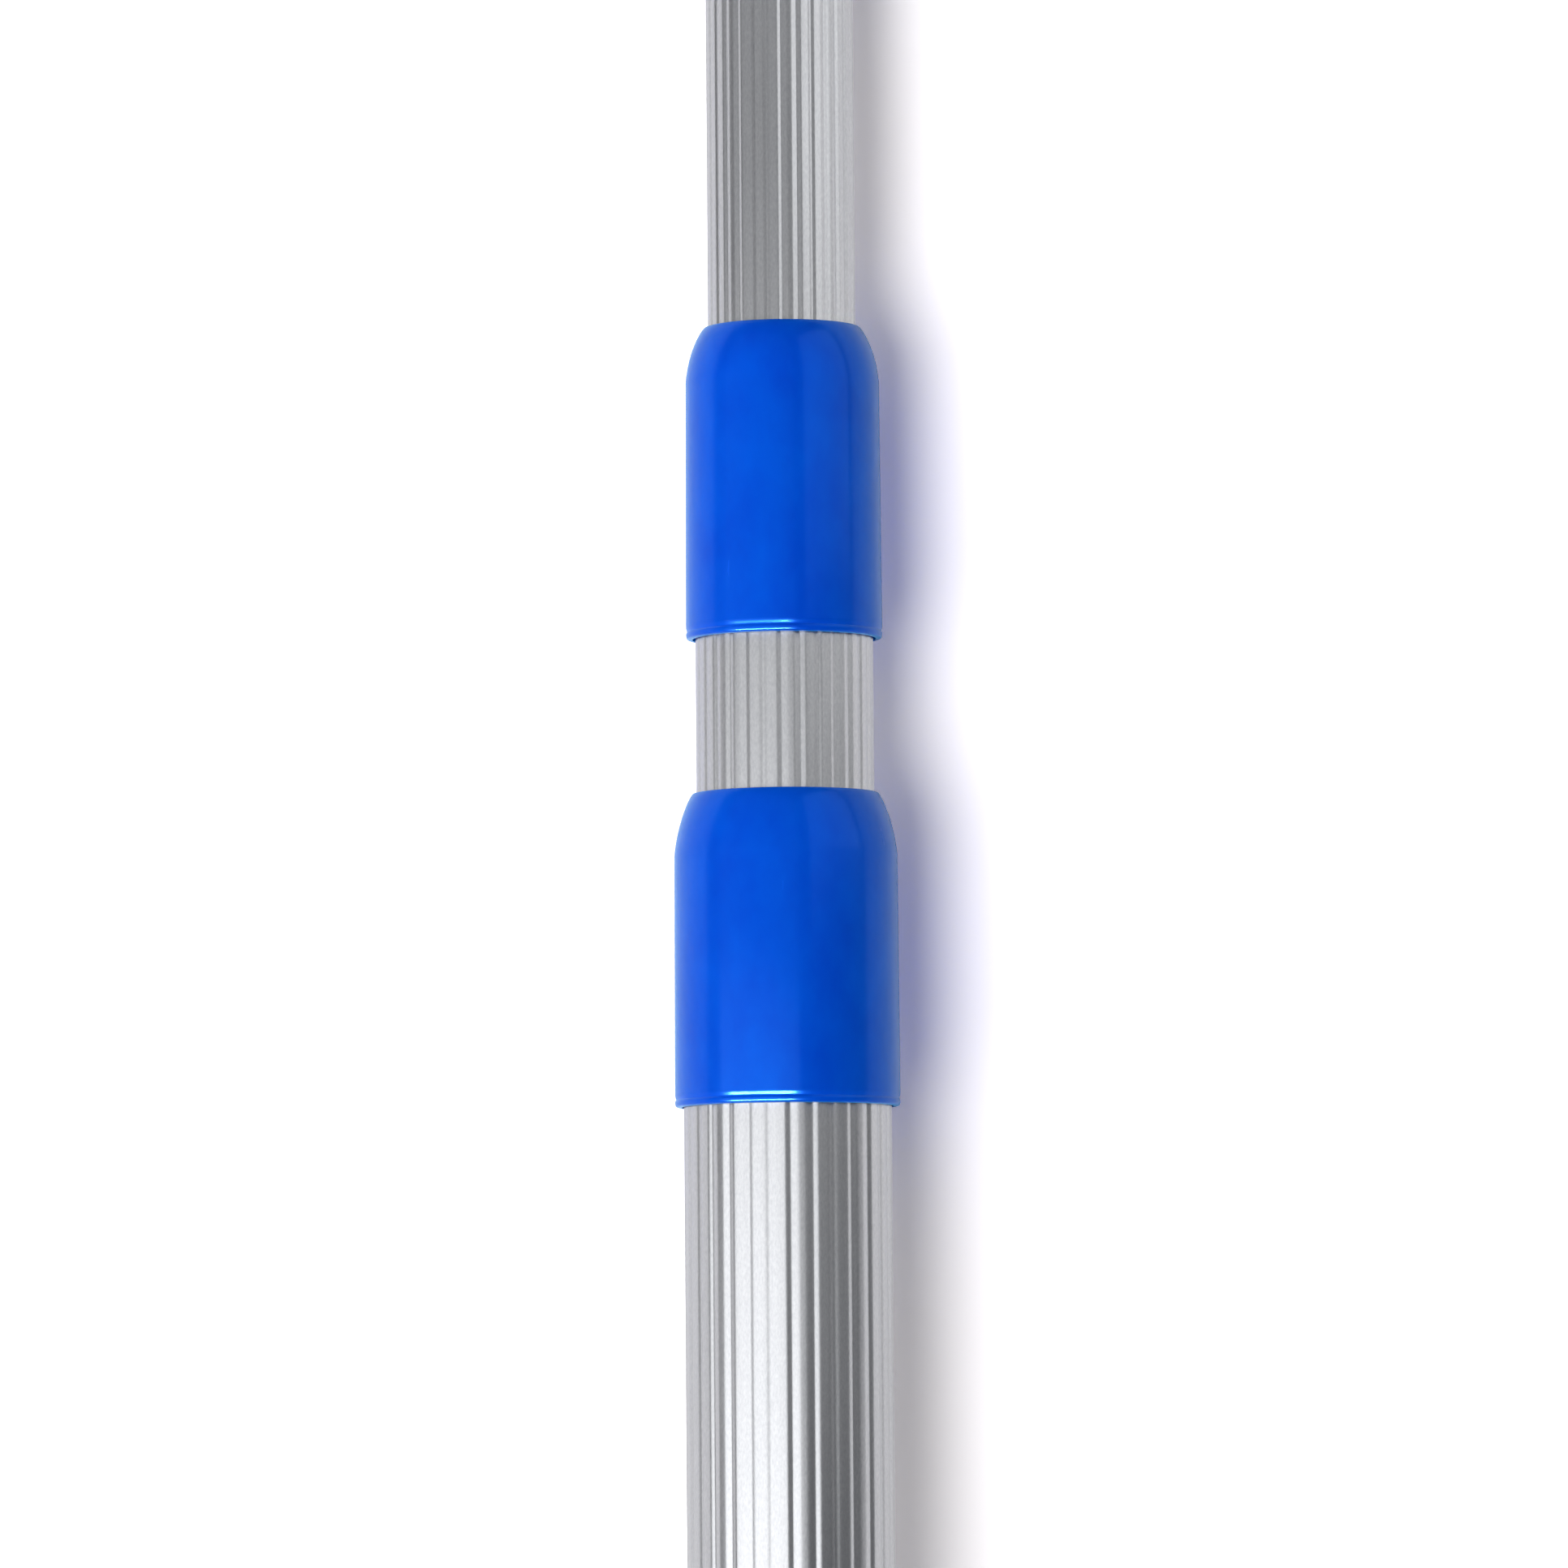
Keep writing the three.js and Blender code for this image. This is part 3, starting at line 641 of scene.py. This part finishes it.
def pan_head(shank, length, head, height):
    """Outline of a screw whose seat is at zero, from its point to the top of its rounded head."""
    threads = []
    for turn in range(int((length - SCREW_POINT - PLAIN_SHANK) / THREAD_PITCH)):
        start = -length + SCREW_POINT + turn * THREAD_PITCH
        threads.append((shank - THREAD_DEPTH, start))
        threads.append((shank, start + THREAD_PITCH / 2))
    dome = curve_points(
        (head, 0.3 * height), (head, 0.75 * height), (0.8 * head, height), (0.35 * head, height), 8
    )
    return [
        (0.0003, -length),
        *threads,
        (shank - 0.0002, threads[-1][1] + THREAD_PITCH / 2),
        (shank - 0.0002, 0.0),
        (head - 0.0002, 0.0),
        (head, 0.0002),
        (head, 0.3 * height),
        *dome,
    ]


# The head's own frame: X along its width, Z away from the bristles, zero on top of the back.
HEAD_ANGLE = math.radians(40)
HEAD_OFFSET = 0.034
head_up = (pole_axis * math.sin(HEAD_ANGLE) + (-down) * math.cos(HEAD_ANGLE)).normalized()
head_depth = head_up.cross(across)
head_origin = pole_foot - pole_axis * HEAD_OFFSET
head_frame = Matrix.Translation(head_origin) @ Matrix(
    (across, head_depth, head_up)
).transposed().to_4x4()

FOOT_SCREW_X, FOOT_SCREW_Y = 0.031, 0.012
FOOT_THICKNESS = 0.006
FOOT_LIFT = 0.0003
SCREW_SEAT = FOOT_LIFT + FOOT_THICKNESS + 0.0003

foot_screw = cross_screw(
    "foot_screw_plated_1",
    pan_head(shank=0.0019, length=0.014, head=0.0038, height=0.0024),
    recess_reach=0.0022,
    recess_depth=0.0014,
)
places = (
    (-FOOT_SCREW_X, -FOOT_SCREW_Y, 12),
    (FOOT_SCREW_X, -FOOT_SCREW_Y, 47),
    (-FOOT_SCREW_X, FOOT_SCREW_Y, 71),
    (FOOT_SCREW_X, FOOT_SCREW_Y, 30),
)
foot_screws = [foot_screw]
for number in range(2, 5):
    twin = foot_screw.copy()
    twin.data = foot_screw.data.copy()
    twin.name = f"foot_screw_plated_{number}"
    bpy.context.scene.collection.objects.link(twin)
    foot_screws.append(twin)
for number, (screw, (x, y, turn)) in enumerate(zip(foot_screws, places), start=1):
    seat = Matrix.Translation((x, y, SCREW_SEAT)) @ Matrix.Rotation(math.radians(turn), 4, "Z")
    settle(screw, head_frame @ seat)
    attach(screw, "outer_stage")
    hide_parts(f"foot_screw_{number}")

CLIP_SCREW_LENGTH = 0.010
clip_screw = cross_screw(
    "clip_screw_plated",
    pan_head(shank=0.0011, length=CLIP_SCREW_LENGTH, head=0.0024, height=0.0014),
    recess_reach=0.0014,
    recess_depth=0.0008,
)
clip_seat = stations("clip_screw")[0] + CLIP_SCREW_LENGTH
settle(clip_screw, pole_frame @ Matrix.Translation((0, 0, clip_seat)))
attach(clip_screw, "outer_stage")
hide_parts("clip_screw")

LOCK_HEAD_HEIGHT = 0.003
for node, head, body in (
    ("middle_lock_screw", 0.0072, "middle_stage"),
    ("inner_lock_screw", 0.0062, "inner_stage"),
):
    screw = cross_screw(
        node + "_plated",
        pan_head(shank=0.0017, length=0.012, head=head, height=LOCK_HEAD_HEIGHT),
        recess_reach=0.0026,
        recess_depth=0.0016,
    )
    low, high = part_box(node)
    seat = stations(node)[0] + LOCK_HEAD_HEIGHT
    centre = (low + high) / 2
    offset = (centre - pole_foot) - pole_axis * (centre - pole_foot).dot(pole_axis)
    upside = Matrix.Rotation(math.radians(180), 4, "X")
    settle(screw, Matrix.Translation(offset) @ pole_frame @ Matrix.Translation((0, 0, seat)) @ upside)
    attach(screw, body)
    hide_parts(node)

# --- Clip buttons ---------------------------------------------------------------------------------
# Two turned steel buttons, each riveted to an arm of the spring clip inside the spigot. They stand
# out through the holes of the outer tube, and pressing both frees the head.

BUTTON_SHANK = 0.0034
BUTTON_REACH = 0.016
BUTTON_INNER = 0.0076
BUTTON_OUTER = 0.0092

button_dome = curve_points(
    (BUTTON_SHANK, BUTTON_REACH - 0.0014),
    (BUTTON_SHANK, BUTTON_REACH - 0.0005),
    (0.7 * BUTTON_SHANK, BUTTON_REACH),
    (0.25 * BUTTON_SHANK, BUTTON_REACH),
    8,
)
outline = [
    (0.0018, BUTTON_INNER - 0.0007),
    (0.0024, BUTTON_INNER - 0.0004),
    (0.0024, BUTTON_INNER),
    (0.0014, BUTTON_INNER),
    (0.0014, BUTTON_OUTER),
    (BUTTON_SHANK - 0.0002, BUTTON_OUTER),
    (BUTTON_SHANK, BUTTON_OUTER + 0.0002),
    (BUTTON_SHANK, BUTTON_REACH - 0.0014),
    *button_dome,
]
for side, turn in (("left", -90), ("right", 90)):
    button = turned(f"clip_button_{side}_turned", outline, 64, False)
    smooth(button, 40)
    button.data.materials.append(bright_steel)
    outward = Matrix.Rotation(math.radians(turn), 4, "Y")
    settle(button, pole_frame @ Matrix.Translation((0, 0, BUTTON_STATION)) @ outward)
    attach(button, f"clip_{side}")
    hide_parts(f"clip_button_{side}")

# --- Brush socket ---------------------------------------------------------------------------------
# One moulding: a rounded foot plate screwed to the back, a leaning neck braced by a web across it, a
# shoulder that stops the tube, and a hollow spigot that holds the spring clip.

FOOT_WIDTH, FOOT_DEPTH, FOOT_CORNER, FOOT_ROUND = 0.082, 0.038, 0.008, 0.0014
NECK_RADIUS = 0.0126
SHOULDER_RADIUS, SHOULDER_THICKNESS = 0.0152, 0.005
SPIGOT_RADIUS, SPIGOT_BORE, SPIGOT_LENGTH, SPIGOT_FLOOR = 0.0124, 0.0102, 0.062, 0.006
POST_RADIUS, POST_TOP, POST_HOLE, POST_HOLE_DEPTH = 0.0026, 0.0567, 0.0014, 0.0117
WEB_THICKNESS, WEB_REACH, WEB_ROUND = 0.004, 0.026, 0.0009
WEB_START, WEB_HEIGHT = 0.0014, 0.026
SCREW_HOLE, SCREW_HOLE_DEPTH = 0.0022, 0.009


def select_edges(piece, wanted):
    """Selects the edges whose two ends pass a test, and leaves the piece in edit mode."""
    bpy.ops.object.mode_set(mode="EDIT")
    bpy.ops.mesh.select_mode(type="EDGE")
    bpy.ops.mesh.select_all(action="DESELECT")
    bpy.ops.object.mode_set(mode="OBJECT")
    for edge in piece.data.edges:
        edge.select = wanted(*(piece.data.vertices[i].co for i in edge.vertices))
    bpy.ops.object.mode_set(mode="EDIT")


foot_top = FOOT_LIFT + FOOT_THICKNESS

bpy.ops.object.select_all(action="DESELECT")
bpy.ops.mesh.primitive_cube_add(
    size=1,
    location=(0, 0, foot_top - FOOT_THICKNESS / 2),
    scale=(FOOT_WIDTH, FOOT_DEPTH, FOOT_THICKNESS),
)
socket = bpy.context.object
socket.name = "brush_socket_moulded"
bpy.ops.object.transform_apply(location=True, rotation=True, scale=True)
select_edges(socket, lambda start, end: abs(start.z - end.z) > FOOT_THICKNESS / 2)
bpy.ops.mesh.bevel(offset=FOOT_CORNER, segments=10)
select_edges(socket, lambda start, end: min(start.z, end.z) > foot_top - 1e-5)
bpy.ops.mesh.bevel(offset=FOOT_ROUND, segments=4)
bpy.ops.mesh.select_mode(type="VERT")
bpy.ops.object.mode_set(mode="OBJECT")
settle(socket, head_frame)

outline = [
    (NECK_RADIUS, -HEAD_OFFSET - 0.040),
    (NECK_RADIUS, -SHOULDER_THICKNESS - 0.0045),
    (NECK_RADIUS + 0.0006, -SHOULDER_THICKNESS - 0.0026),
    (SHOULDER_RADIUS - 0.0006, -SHOULDER_THICKNESS - 0.0006),
    (SHOULDER_RADIUS, -SHOULDER_THICKNESS + 0.0002),
    (SHOULDER_RADIUS, -0.0012),
    (SHOULDER_RADIUS - 0.0003, -0.0006),
    (SHOULDER_RADIUS - 0.0009, -0.0003),
    (SPIGOT_RADIUS, -0.0003),
    (SPIGOT_RADIUS, SPIGOT_LENGTH - 0.002),
    (SPIGOT_RADIUS - 0.001, SPIGOT_LENGTH),
]
stem = turned("stem", outline, 96, False)
settle(stem, pole_frame)
bpy.ops.object.mode_set(mode="EDIT")
bpy.ops.mesh.select_all(action="SELECT")
bpy.ops.mesh.bisect(
    plane_co=head_origin + head_up * (FOOT_LIFT + 0.001),
    plane_no=head_up,
    use_fill=True,
    clear_inner=True,
)
bpy.ops.mesh.select_all(action="SELECT")
bpy.ops.mesh.normals_make_consistent(inside=False)
bpy.ops.object.mode_set(mode="OBJECT")
cut(socket, stem, "UNION")

bpy.ops.object.select_all(action="DESELECT")
bpy.ops.mesh.primitive_cube_add(
    size=1,
    location=(0, 0, (WEB_HEIGHT + WEB_START) / 2),
    scale=(2 * WEB_REACH, WEB_THICKNESS, WEB_HEIGHT - WEB_START),
)
web = bpy.context.object
bpy.ops.object.transform_apply(location=True, rotation=True, scale=True)
bpy.ops.object.mode_set(mode="EDIT")
for side in (-1, 1):
    bpy.ops.mesh.select_all(action="SELECT")
    bpy.ops.mesh.bisect(
        plane_co=(side * WEB_REACH, 0, FOOT_THICKNESS),
        plane_no=(side * (WEB_HEIGHT - FOOT_THICKNESS), 0, WEB_REACH - NECK_RADIUS),
        use_fill=True,
        clear_outer=True,
    )
bpy.ops.object.mode_set(mode="OBJECT")
bevel = web.modifiers.new("rounded", "BEVEL")
bevel.width = WEB_ROUND
bevel.segments = 3
bpy.ops.object.modifier_apply(modifier=bevel.name)
settle(web, head_frame)
cut(socket, web, "UNION")

for radius, low, high, operation in (
    (SPIGOT_BORE, SPIGOT_FLOOR, SPIGOT_LENGTH + 0.001, "DIFFERENCE"),
    (POST_RADIUS, SPIGOT_FLOOR - 0.001, POST_TOP, "UNION"),
    (POST_HOLE, POST_TOP - POST_HOLE_DEPTH, POST_TOP + 0.001, "DIFFERENCE"),
):
    tool = turned("tool", [(radius, low), (radius, high)], 64, False)
    settle(tool, pole_frame)
    cut(socket, tool, operation)
bpy.ops.object.select_all(action="DESELECT")
bpy.ops.mesh.primitive_cylinder_add(vertices=48, radius=BUTTON_SHANK + 0.0009, depth=0.04)
tool = bpy.context.object
sideways = Matrix.Rotation(math.radians(90), 4, "Y")
settle(tool, pole_frame @ Matrix.Translation((0, 0, BUTTON_STATION)) @ sideways)
cut(socket, tool)
for x, y, _ in places:
    tool = turned("tool", [(SCREW_HOLE, -0.001), (SCREW_HOLE, foot_top + 0.001)], 32, False)
    settle(tool, head_frame @ Matrix.Translation((x, y, 0)))
    cut(socket, tool)
smooth(socket, 32)
socket.data.materials.append(blue_plastic)
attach(socket, "outer_stage")
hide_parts("brush_socket")

# --- Brush back -----------------------------------------------------------------------------------
# A moulded bar with a flat middle and both ends curved up from the wall. Its edges are rounded, the
# plan of each end is round, and four blind holes take the screws.

FLAT_HALF = 0.106
WING_RADIUS = 0.190
WING_ANGLE = math.radians(24)
WING_STEPS = 36
BACK_THICKNESS, BACK_DEPTH, BACK_CORNER = 0.012, 0.046, 0.014
BACK_ROUND, BACK_END_ROUND = 0.0028, 0.0016


def swung(step):
    """Share of the wing's bend reached after a step: the steps get finer towards the end."""
    return 1 - (1 - step / WING_STEPS) ** 1.6


bpy.ops.object.select_all(action="DESELECT")
bpy.ops.mesh.primitive_plane_add(
    size=1, location=(0, 0, -BACK_THICKNESS / 2), rotation=(0, math.radians(90), 0)
)
back = bpy.context.object
back.name = "brush_back_moulded"
back.scale = (BACK_THICKNESS, BACK_DEPTH, 1)
bpy.ops.object.transform_apply(location=True, rotation=True, scale=True)
bpy.ops.object.mode_set(mode="EDIT")
bpy.ops.mesh.select_all(action="SELECT")
bpy.ops.mesh.bevel(offset=BACK_ROUND, segments=6, affect="VERTICES")
bpy.ops.mesh.delete(type="ONLY_FACE")
bpy.ops.mesh.select_all(action="SELECT")
for _ in range(2):
    bpy.ops.mesh.extrude_edges_move(TRANSFORM_OT_translate={"value": (FLAT_HALF / 2, 0, 0)})
wing_length = WING_RADIUS * WING_ANGLE
narrowed = 1.0
for step in range(1, WING_STEPS + 1):
    bpy.ops.mesh.extrude_edges_move(TRANSFORM_OT_translate={"value": (0, 0, 0)})
    bpy.ops.transform.rotate(
        value=(swung(step) - swung(step - 1)) * WING_ANGLE,
        orient_axis="Y",
        orient_type="GLOBAL",
        center_override=(FLAT_HALF, 0, WING_RADIUS),
    )
    left = (1 - swung(step)) * wing_length
    inset = 0.0
    if left < BACK_CORNER:
        inset = BACK_CORNER - math.sqrt(BACK_CORNER**2 - (BACK_CORNER - left) ** 2)
    share = (BACK_DEPTH / 2 - inset) / (BACK_DEPTH / 2)
    bpy.ops.transform.resize(value=(1, share / narrowed, 1), center_override=(0, 0, 0))
    narrowed = share
bpy.ops.mesh.edge_face_add()
bpy.ops.mesh.bevel(offset=BACK_END_ROUND, segments=3)
bpy.ops.object.mode_set(mode="OBJECT")
mirror = back.modifiers.new("other_half", "MIRROR")
mirror.use_axis = (True, False, False)
mirror.merge_threshold = 1e-6
bpy.ops.object.modifier_apply(modifier=mirror.name)
bpy.ops.object.mode_set(mode="EDIT")
bpy.ops.mesh.select_all(action="SELECT")
bpy.ops.mesh.remove_doubles(threshold=1e-6)
bpy.ops.mesh.normals_make_consistent(inside=False)
bpy.ops.object.mode_set(mode="OBJECT")
settle(back, head_frame)
for x, y, _ in places:
    tool = turned("tool", [(SCREW_HOLE, -SCREW_HOLE_DEPTH), (SCREW_HOLE, 0.001)], 32, False)
    settle(tool, head_frame @ Matrix.Translation((x, y, 0)))
    cut(back, tool)
smooth(back, 32)
back.data.materials.append(blue_plastic)
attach(back, "outer_stage")
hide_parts("brush_back")

# --- Bristle rows ---------------------------------------------------------------------------------
# Five rows of nylon tufts, stapled into the underside of the back. Each tuft is a bundle of stiff
# filaments that spreads a little towards its tips.

FILAMENT_RADIUS = 0.00021
FILAMENTS = 34
TUFT_RADIUS = 0.00125
TUFT_SPREAD_ALONG, TUFT_SPREAD_ACROSS = 0.0010125, 0.00035
TUFT_PITCH = 0.0066
ROW_PITCH = 0.008
ROOT_DEPTH = 0.0006
TIP_DEPTH = 0.048
EDGE_ROW_REACH, INNER_ROW_REACH = math.radians(21.5), math.radians(23)

nylon, tree, shader, vector = new_material("bristle_nylon", (0.75, 0.82, 0.9), 0.42)
shader.inputs["Subsurface Weight"].default_value = 0.2
shader.inputs["Subsurface Radius"].default_value = (0.8, 0.9, 1.0)
shader.inputs["Subsurface Scale"].default_value = 0.001
strands = noise(tree, vector, 700, (1, 0.12, 0.12), 3)
tone = two_tone(tree, span(tree, strands, 0, 1), (0.6, 0.7, 0.84), (0.84, 0.88, 0.93))
feed(tree, shader, "Base Color", tone)
feed(tree, shader, "Roughness", span(tree, strands, 0.34, 0.5))
bump(tree, shader, strands, 0.00002)

dice = random.Random(7)
free_length = TIP_DEPTH - BACK_THICKNESS
filament_length = free_length + ROOT_DEPTH
bpy.ops.object.select_all(action="DESELECT")
bpy.ops.mesh.primitive_cylinder_add(
    vertices=3,
    radius=FILAMENT_RADIUS,
    depth=filament_length,
    location=(0, 0, -BACK_THICKNESS + ROOT_DEPTH - filament_length / 2),
)
filament = bpy.context.object
bpy.ops.object.transform_apply(location=True, rotation=True, scale=True)
filament.data.materials.append(nylon)
root = Vector((0, 0, -BACK_THICKNESS + ROOT_DEPTH))


def bundle(name):
    """One tuft: filaments laid out in a sunflower pattern, each leaning outwards by a small amount."""
    strands = []
    for number in range(FILAMENTS):
        share = math.sqrt((number + 0.5) / FILAMENTS)
        angle = number * math.radians(137.5)
        place = Vector((math.cos(angle), math.sin(angle), 0)) * TUFT_RADIUS * share
        lean_x = place.x / TUFT_RADIUS * TUFT_SPREAD_ALONG / free_length + dice.uniform(-0.008, 0.008)
        lean_y = place.y / TUFT_RADIUS * TUFT_SPREAD_ACROSS / free_length
        cut_short = 1 - dice.uniform(0.0, 0.012)
        shear = Matrix.Identity(4)
        shear[0][2] = -lean_x
        shear[1][2] = -lean_y
        shear[2][2] = cut_short
        turn = Matrix.Rotation(dice.uniform(0, math.tau), 4, "Z")
        strand = filament.copy()
        strand.data = filament.data.copy()
        moved = Matrix.Translation(root + place) @ shear @ turn @ Matrix.Translation(-root)
        strand.data.transform(moved)
        bpy.context.scene.collection.objects.link(strand)
        strands.append(strand)
    bpy.ops.object.select_all(action="DESELECT")
    for strand in strands:
        strand.select_set(True)
    bpy.context.view_layer.objects.active = strands[0]
    bpy.ops.object.join()
    strands[0].name = name
    return strands[0]


tufts = [bundle(f"tuft_{number}") for number in range(4)]
bpy.data.objects.remove(filament)
for row in range(5):
    from_middle = row - 2
    wing = EDGE_ROW_REACH if abs(from_middle) == 2 else INNER_ROW_REACH
    reach = FLAT_HALF + (WING_RADIUS + BACK_THICKNESS) * wing - 1.3 * TUFT_RADIUS
    count = int(2 * reach / TUFT_PITCH) + 1
    pitch = 2 * reach / (count - 1)
    placed = []
    for number in range(count):
        at = -reach + number * pitch
        side = 1 if at > 0 else -1
        bend = max(0.0, abs(at) - FLAT_HALF) / (WING_RADIUS + BACK_THICKNESS)
        stand = Matrix.Translation((at, 0, 0))
        if bend > 0:
            hub = Matrix.Translation((side * FLAT_HALF, 0, WING_RADIUS))
            stand = hub @ Matrix.Rotation(-side * bend, 4, "Y") @ Matrix.Translation((0, 0, -WING_RADIUS))
        stand = Matrix.Translation((0, from_middle * ROW_PITCH, 0)) @ stand
        flip = Matrix.Rotation(math.pi * dice.randrange(2), 4, "Z")
        tuft = dice.choice(tufts)
        copy = tuft.copy()
        copy.data = tuft.data.copy()
        copy.data.transform(head_frame @ stand @ flip)
        bpy.context.scene.collection.objects.link(copy)
        placed.append(copy)
    bpy.ops.object.select_all(action="DESELECT")
    for copy in placed:
        copy.select_set(True)
    bpy.context.view_layer.objects.active = placed[0]
    bpy.ops.object.join()
    placed[0].name = f"bristle_row_{row + 1}_tufts"
    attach(placed[0], "outer_stage")
    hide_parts(f"bristle_row_{row + 1}")
for tuft in tufts:
    bpy.data.objects.remove(tuft)

# --- Camera, floor and light ----------------------------------------------------------------------
# A long lens looks down on the pole where the two collars are. The pale floor falls away behind the
# hand end, so the drawn-out pole stays above it. Wide panels show in the metal, two soft suns shade.

VIEW_WIDTH = 0.2116
CAMERA_DISTANCE = 1.344
CAMERA_LEAN = math.radians(4.4)
CAMERA_ROLL = math.radians(0.45)
AIM_ABOVE_COLLAR, AIM_ASIDE = 0.00122, 0.00018
SENSOR = 0.036
FLOOR_SIZE = 40
FLOOR_BEND = cad_box[1][1] + 0.008
FLOOR_FALL = 0.05

collar_top = stations("outer_collar")[1]
target = pole_foot + pole_axis * (collar_top + AIM_ABOVE_COLLAR)
upward = -down
back_off = (upward * math.cos(CAMERA_LEAN) - pole_axis * math.sin(CAMERA_LEAN)).normalized()
image_up = (pole_axis * math.cos(CAMERA_LEAN) + upward * math.sin(CAMERA_LEAN)).normalized()
image_up = Matrix.Rotation(-CAMERA_ROLL, 3, back_off) @ image_up
image_right = image_up.cross(back_off)
target = target - image_right * AIM_ASIDE
camera_data = bpy.data.cameras.new("camera")
camera_data.sensor_width = SENSOR * 1000
camera_data.lens = SENSOR * 1000 * CAMERA_DISTANCE / VIEW_WIDTH
camera_data.clip_start = 0.05
camera_data.clip_end = 50
camera = bpy.data.objects.new("camera", camera_data)
bpy.context.scene.collection.objects.link(camera)
camera.matrix_world = Matrix.Translation(target + back_off * CAMERA_DISTANCE) @ Matrix(
    (image_right, image_up, back_off)
).transposed().to_4x4()
bpy.context.scene.camera = camera

bpy.ops.object.select_all(action="DESELECT")
bpy.ops.mesh.primitive_plane_add(size=FLOOR_SIZE, location=(0, FLOOR_BEND - FLOOR_SIZE / 2, 0))
floor = bpy.context.object
floor.name = "floor"
bpy.ops.object.transform_apply(location=True, rotation=True, scale=True)
select_vertices(floor, lambda v: v.co.y > FLOOR_BEND - 1)
fall = {"value": (0, FLOOR_SIZE / 2, -FLOOR_FALL * FLOOR_SIZE / 2)}
bpy.ops.mesh.extrude_edges_move(TRANSFORM_OT_translate=fall)
bpy.ops.object.mode_set(mode="OBJECT")

# The camera sees the floor brighter than any paint can be, which keeps it white. The light that
# bounces off it, and what the pieces mirror, is that of plain pale paint.
floor_paint = bpy.data.materials.new("pale_floor")
floor_paint.use_nodes = True
nodes, links = floor_paint.node_tree.nodes, floor_paint.node_tree.links
floor_shader = nodes["Principled BSDF"]
floor_shader.inputs["Base Color"].default_value = (0.98, 0.97, 0.98, 1)
floor_shader.inputs["Roughness"].default_value = 0.8
floor_shader.inputs["Specular IOR Level"].default_value = 0.1
bleached = nodes.new("ShaderNodeBsdfDiffuse")
bleached.inputs["Color"].default_value = (1.68, 1.64, 1.67, 1)
path = nodes.new("ShaderNodeLightPath")
either = nodes.new("ShaderNodeMixShader")
links.new(path.outputs["Is Camera Ray"], either.inputs[0])
links.new(floor_shader.outputs["BSDF"], either.inputs[1])
links.new(bleached.outputs["BSDF"], either.inputs[2])
links.new(either.outputs["Shader"], nodes["Material Output"].inputs["Surface"])
floor.data.materials.append(floor_paint)


def panel(name, centre, aim, width, height, radiance):
    """A light panel that only shows in glossy surfaces, given by how bright its face is."""
    data = bpy.data.lights.new(name, "AREA")
    data.shape = "RECTANGLE"
    data.size = width
    data.size_y = height
    data.energy = radiance * math.pi * width * height
    light = bpy.data.objects.new(name, data)
    bpy.context.scene.collection.objects.link(light)
    look = (Vector(aim) - Vector(centre)).normalized()
    side = look.cross(Vector((0, 1, 0))).normalized()
    rise = side.cross(look)
    light.matrix_world = Matrix.Translation(centre) @ Matrix(
        (side, rise, -look)
    ).transposed().to_4x4()
    light.visible_camera = False
    light.visible_diffuse = False
    return light


panel("key_panel", (-0.30, -0.292, 0.55), (0.0, -0.292, 0.025), 1.1, 1.2, 1.55)
panel("beyond_panel", (-0.30, 0.75, 0.55), (0.0, 0.75, 0.025), 1.1, 0.8, 0.2)
panel("far_panel", (0.573, 0.82, 0.42), (0.0, 0.82, 0.025), 0.8, 0.90, 1.0)

# A narrow bright panel for the collars alone draws the streak along their creases.
rim_panel = panel("rim_panel", (-0.27, -0.07, 0.53), (0.0, 0.25, 0.03), 0.8, 0.16, 135.0)
collars = bpy.data.collections.new("collars")
for name in ("outer_collar_moulded", "middle_collar_moulded"):
    collars.objects.link(bpy.data.objects[name])
rim_panel.light_linking.receiver_collection = collars

for name, direction, energy, spread in (
    ("soft_sun", (-0.34, -0.22, 1.0), 1.85, 28),
    ("side_sun", (-1.0, -0.15, 0.55), 0.8, 50),
):
    data = bpy.data.lights.new(name, "SUN")
    data.energy = energy
    data.angle = math.radians(spread)
    sun = bpy.data.objects.new(name, data)
    bpy.context.scene.collection.objects.link(sun)
    sun.matrix_world = Vector(direction).to_track_quat("Z", "Y").to_matrix().to_4x4()
    sun.visible_camera = False
    sun.visible_glossy = False

world = bpy.data.worlds.new("studio")
bpy.context.scene.world = world
world.use_nodes = True
nodes, links = world.node_tree.nodes, world.node_tree.links
surround = nodes["Background"]
surround.inputs["Color"].default_value = (1.0, 0.98, 0.98, 1)
surround.inputs["Strength"].default_value = 0.175
mirrored = nodes.new("ShaderNodeBackground")
mirrored.inputs["Color"].default_value = (0.93, 0.95, 1.0, 1)
mirrored.inputs["Strength"].default_value = 0.115
seen = nodes.new("ShaderNodeBackground")
seen.inputs["Color"].default_value = (0.96, 0.96, 0.97, 1)
seen.inputs["Strength"].default_value = 1.0
path = nodes.new("ShaderNodeLightPath")
glossy = nodes.new("ShaderNodeMixShader")
either = nodes.new("ShaderNodeMixShader")
links.new(path.outputs["Is Glossy Ray"], glossy.inputs[0])
links.new(surround.outputs["Background"], glossy.inputs[1])
links.new(mirrored.outputs["Background"], glossy.inputs[2])
links.new(path.outputs["Is Camera Ray"], either.inputs[0])
links.new(glossy.outputs["Shader"], either.inputs[1])
links.new(seen.outputs["Background"], either.inputs[2])
links.new(either.outputs["Shader"], nodes["World Output"].inputs["Surface"])
bpy.context.scene.view_settings.view_transform = "Standard"
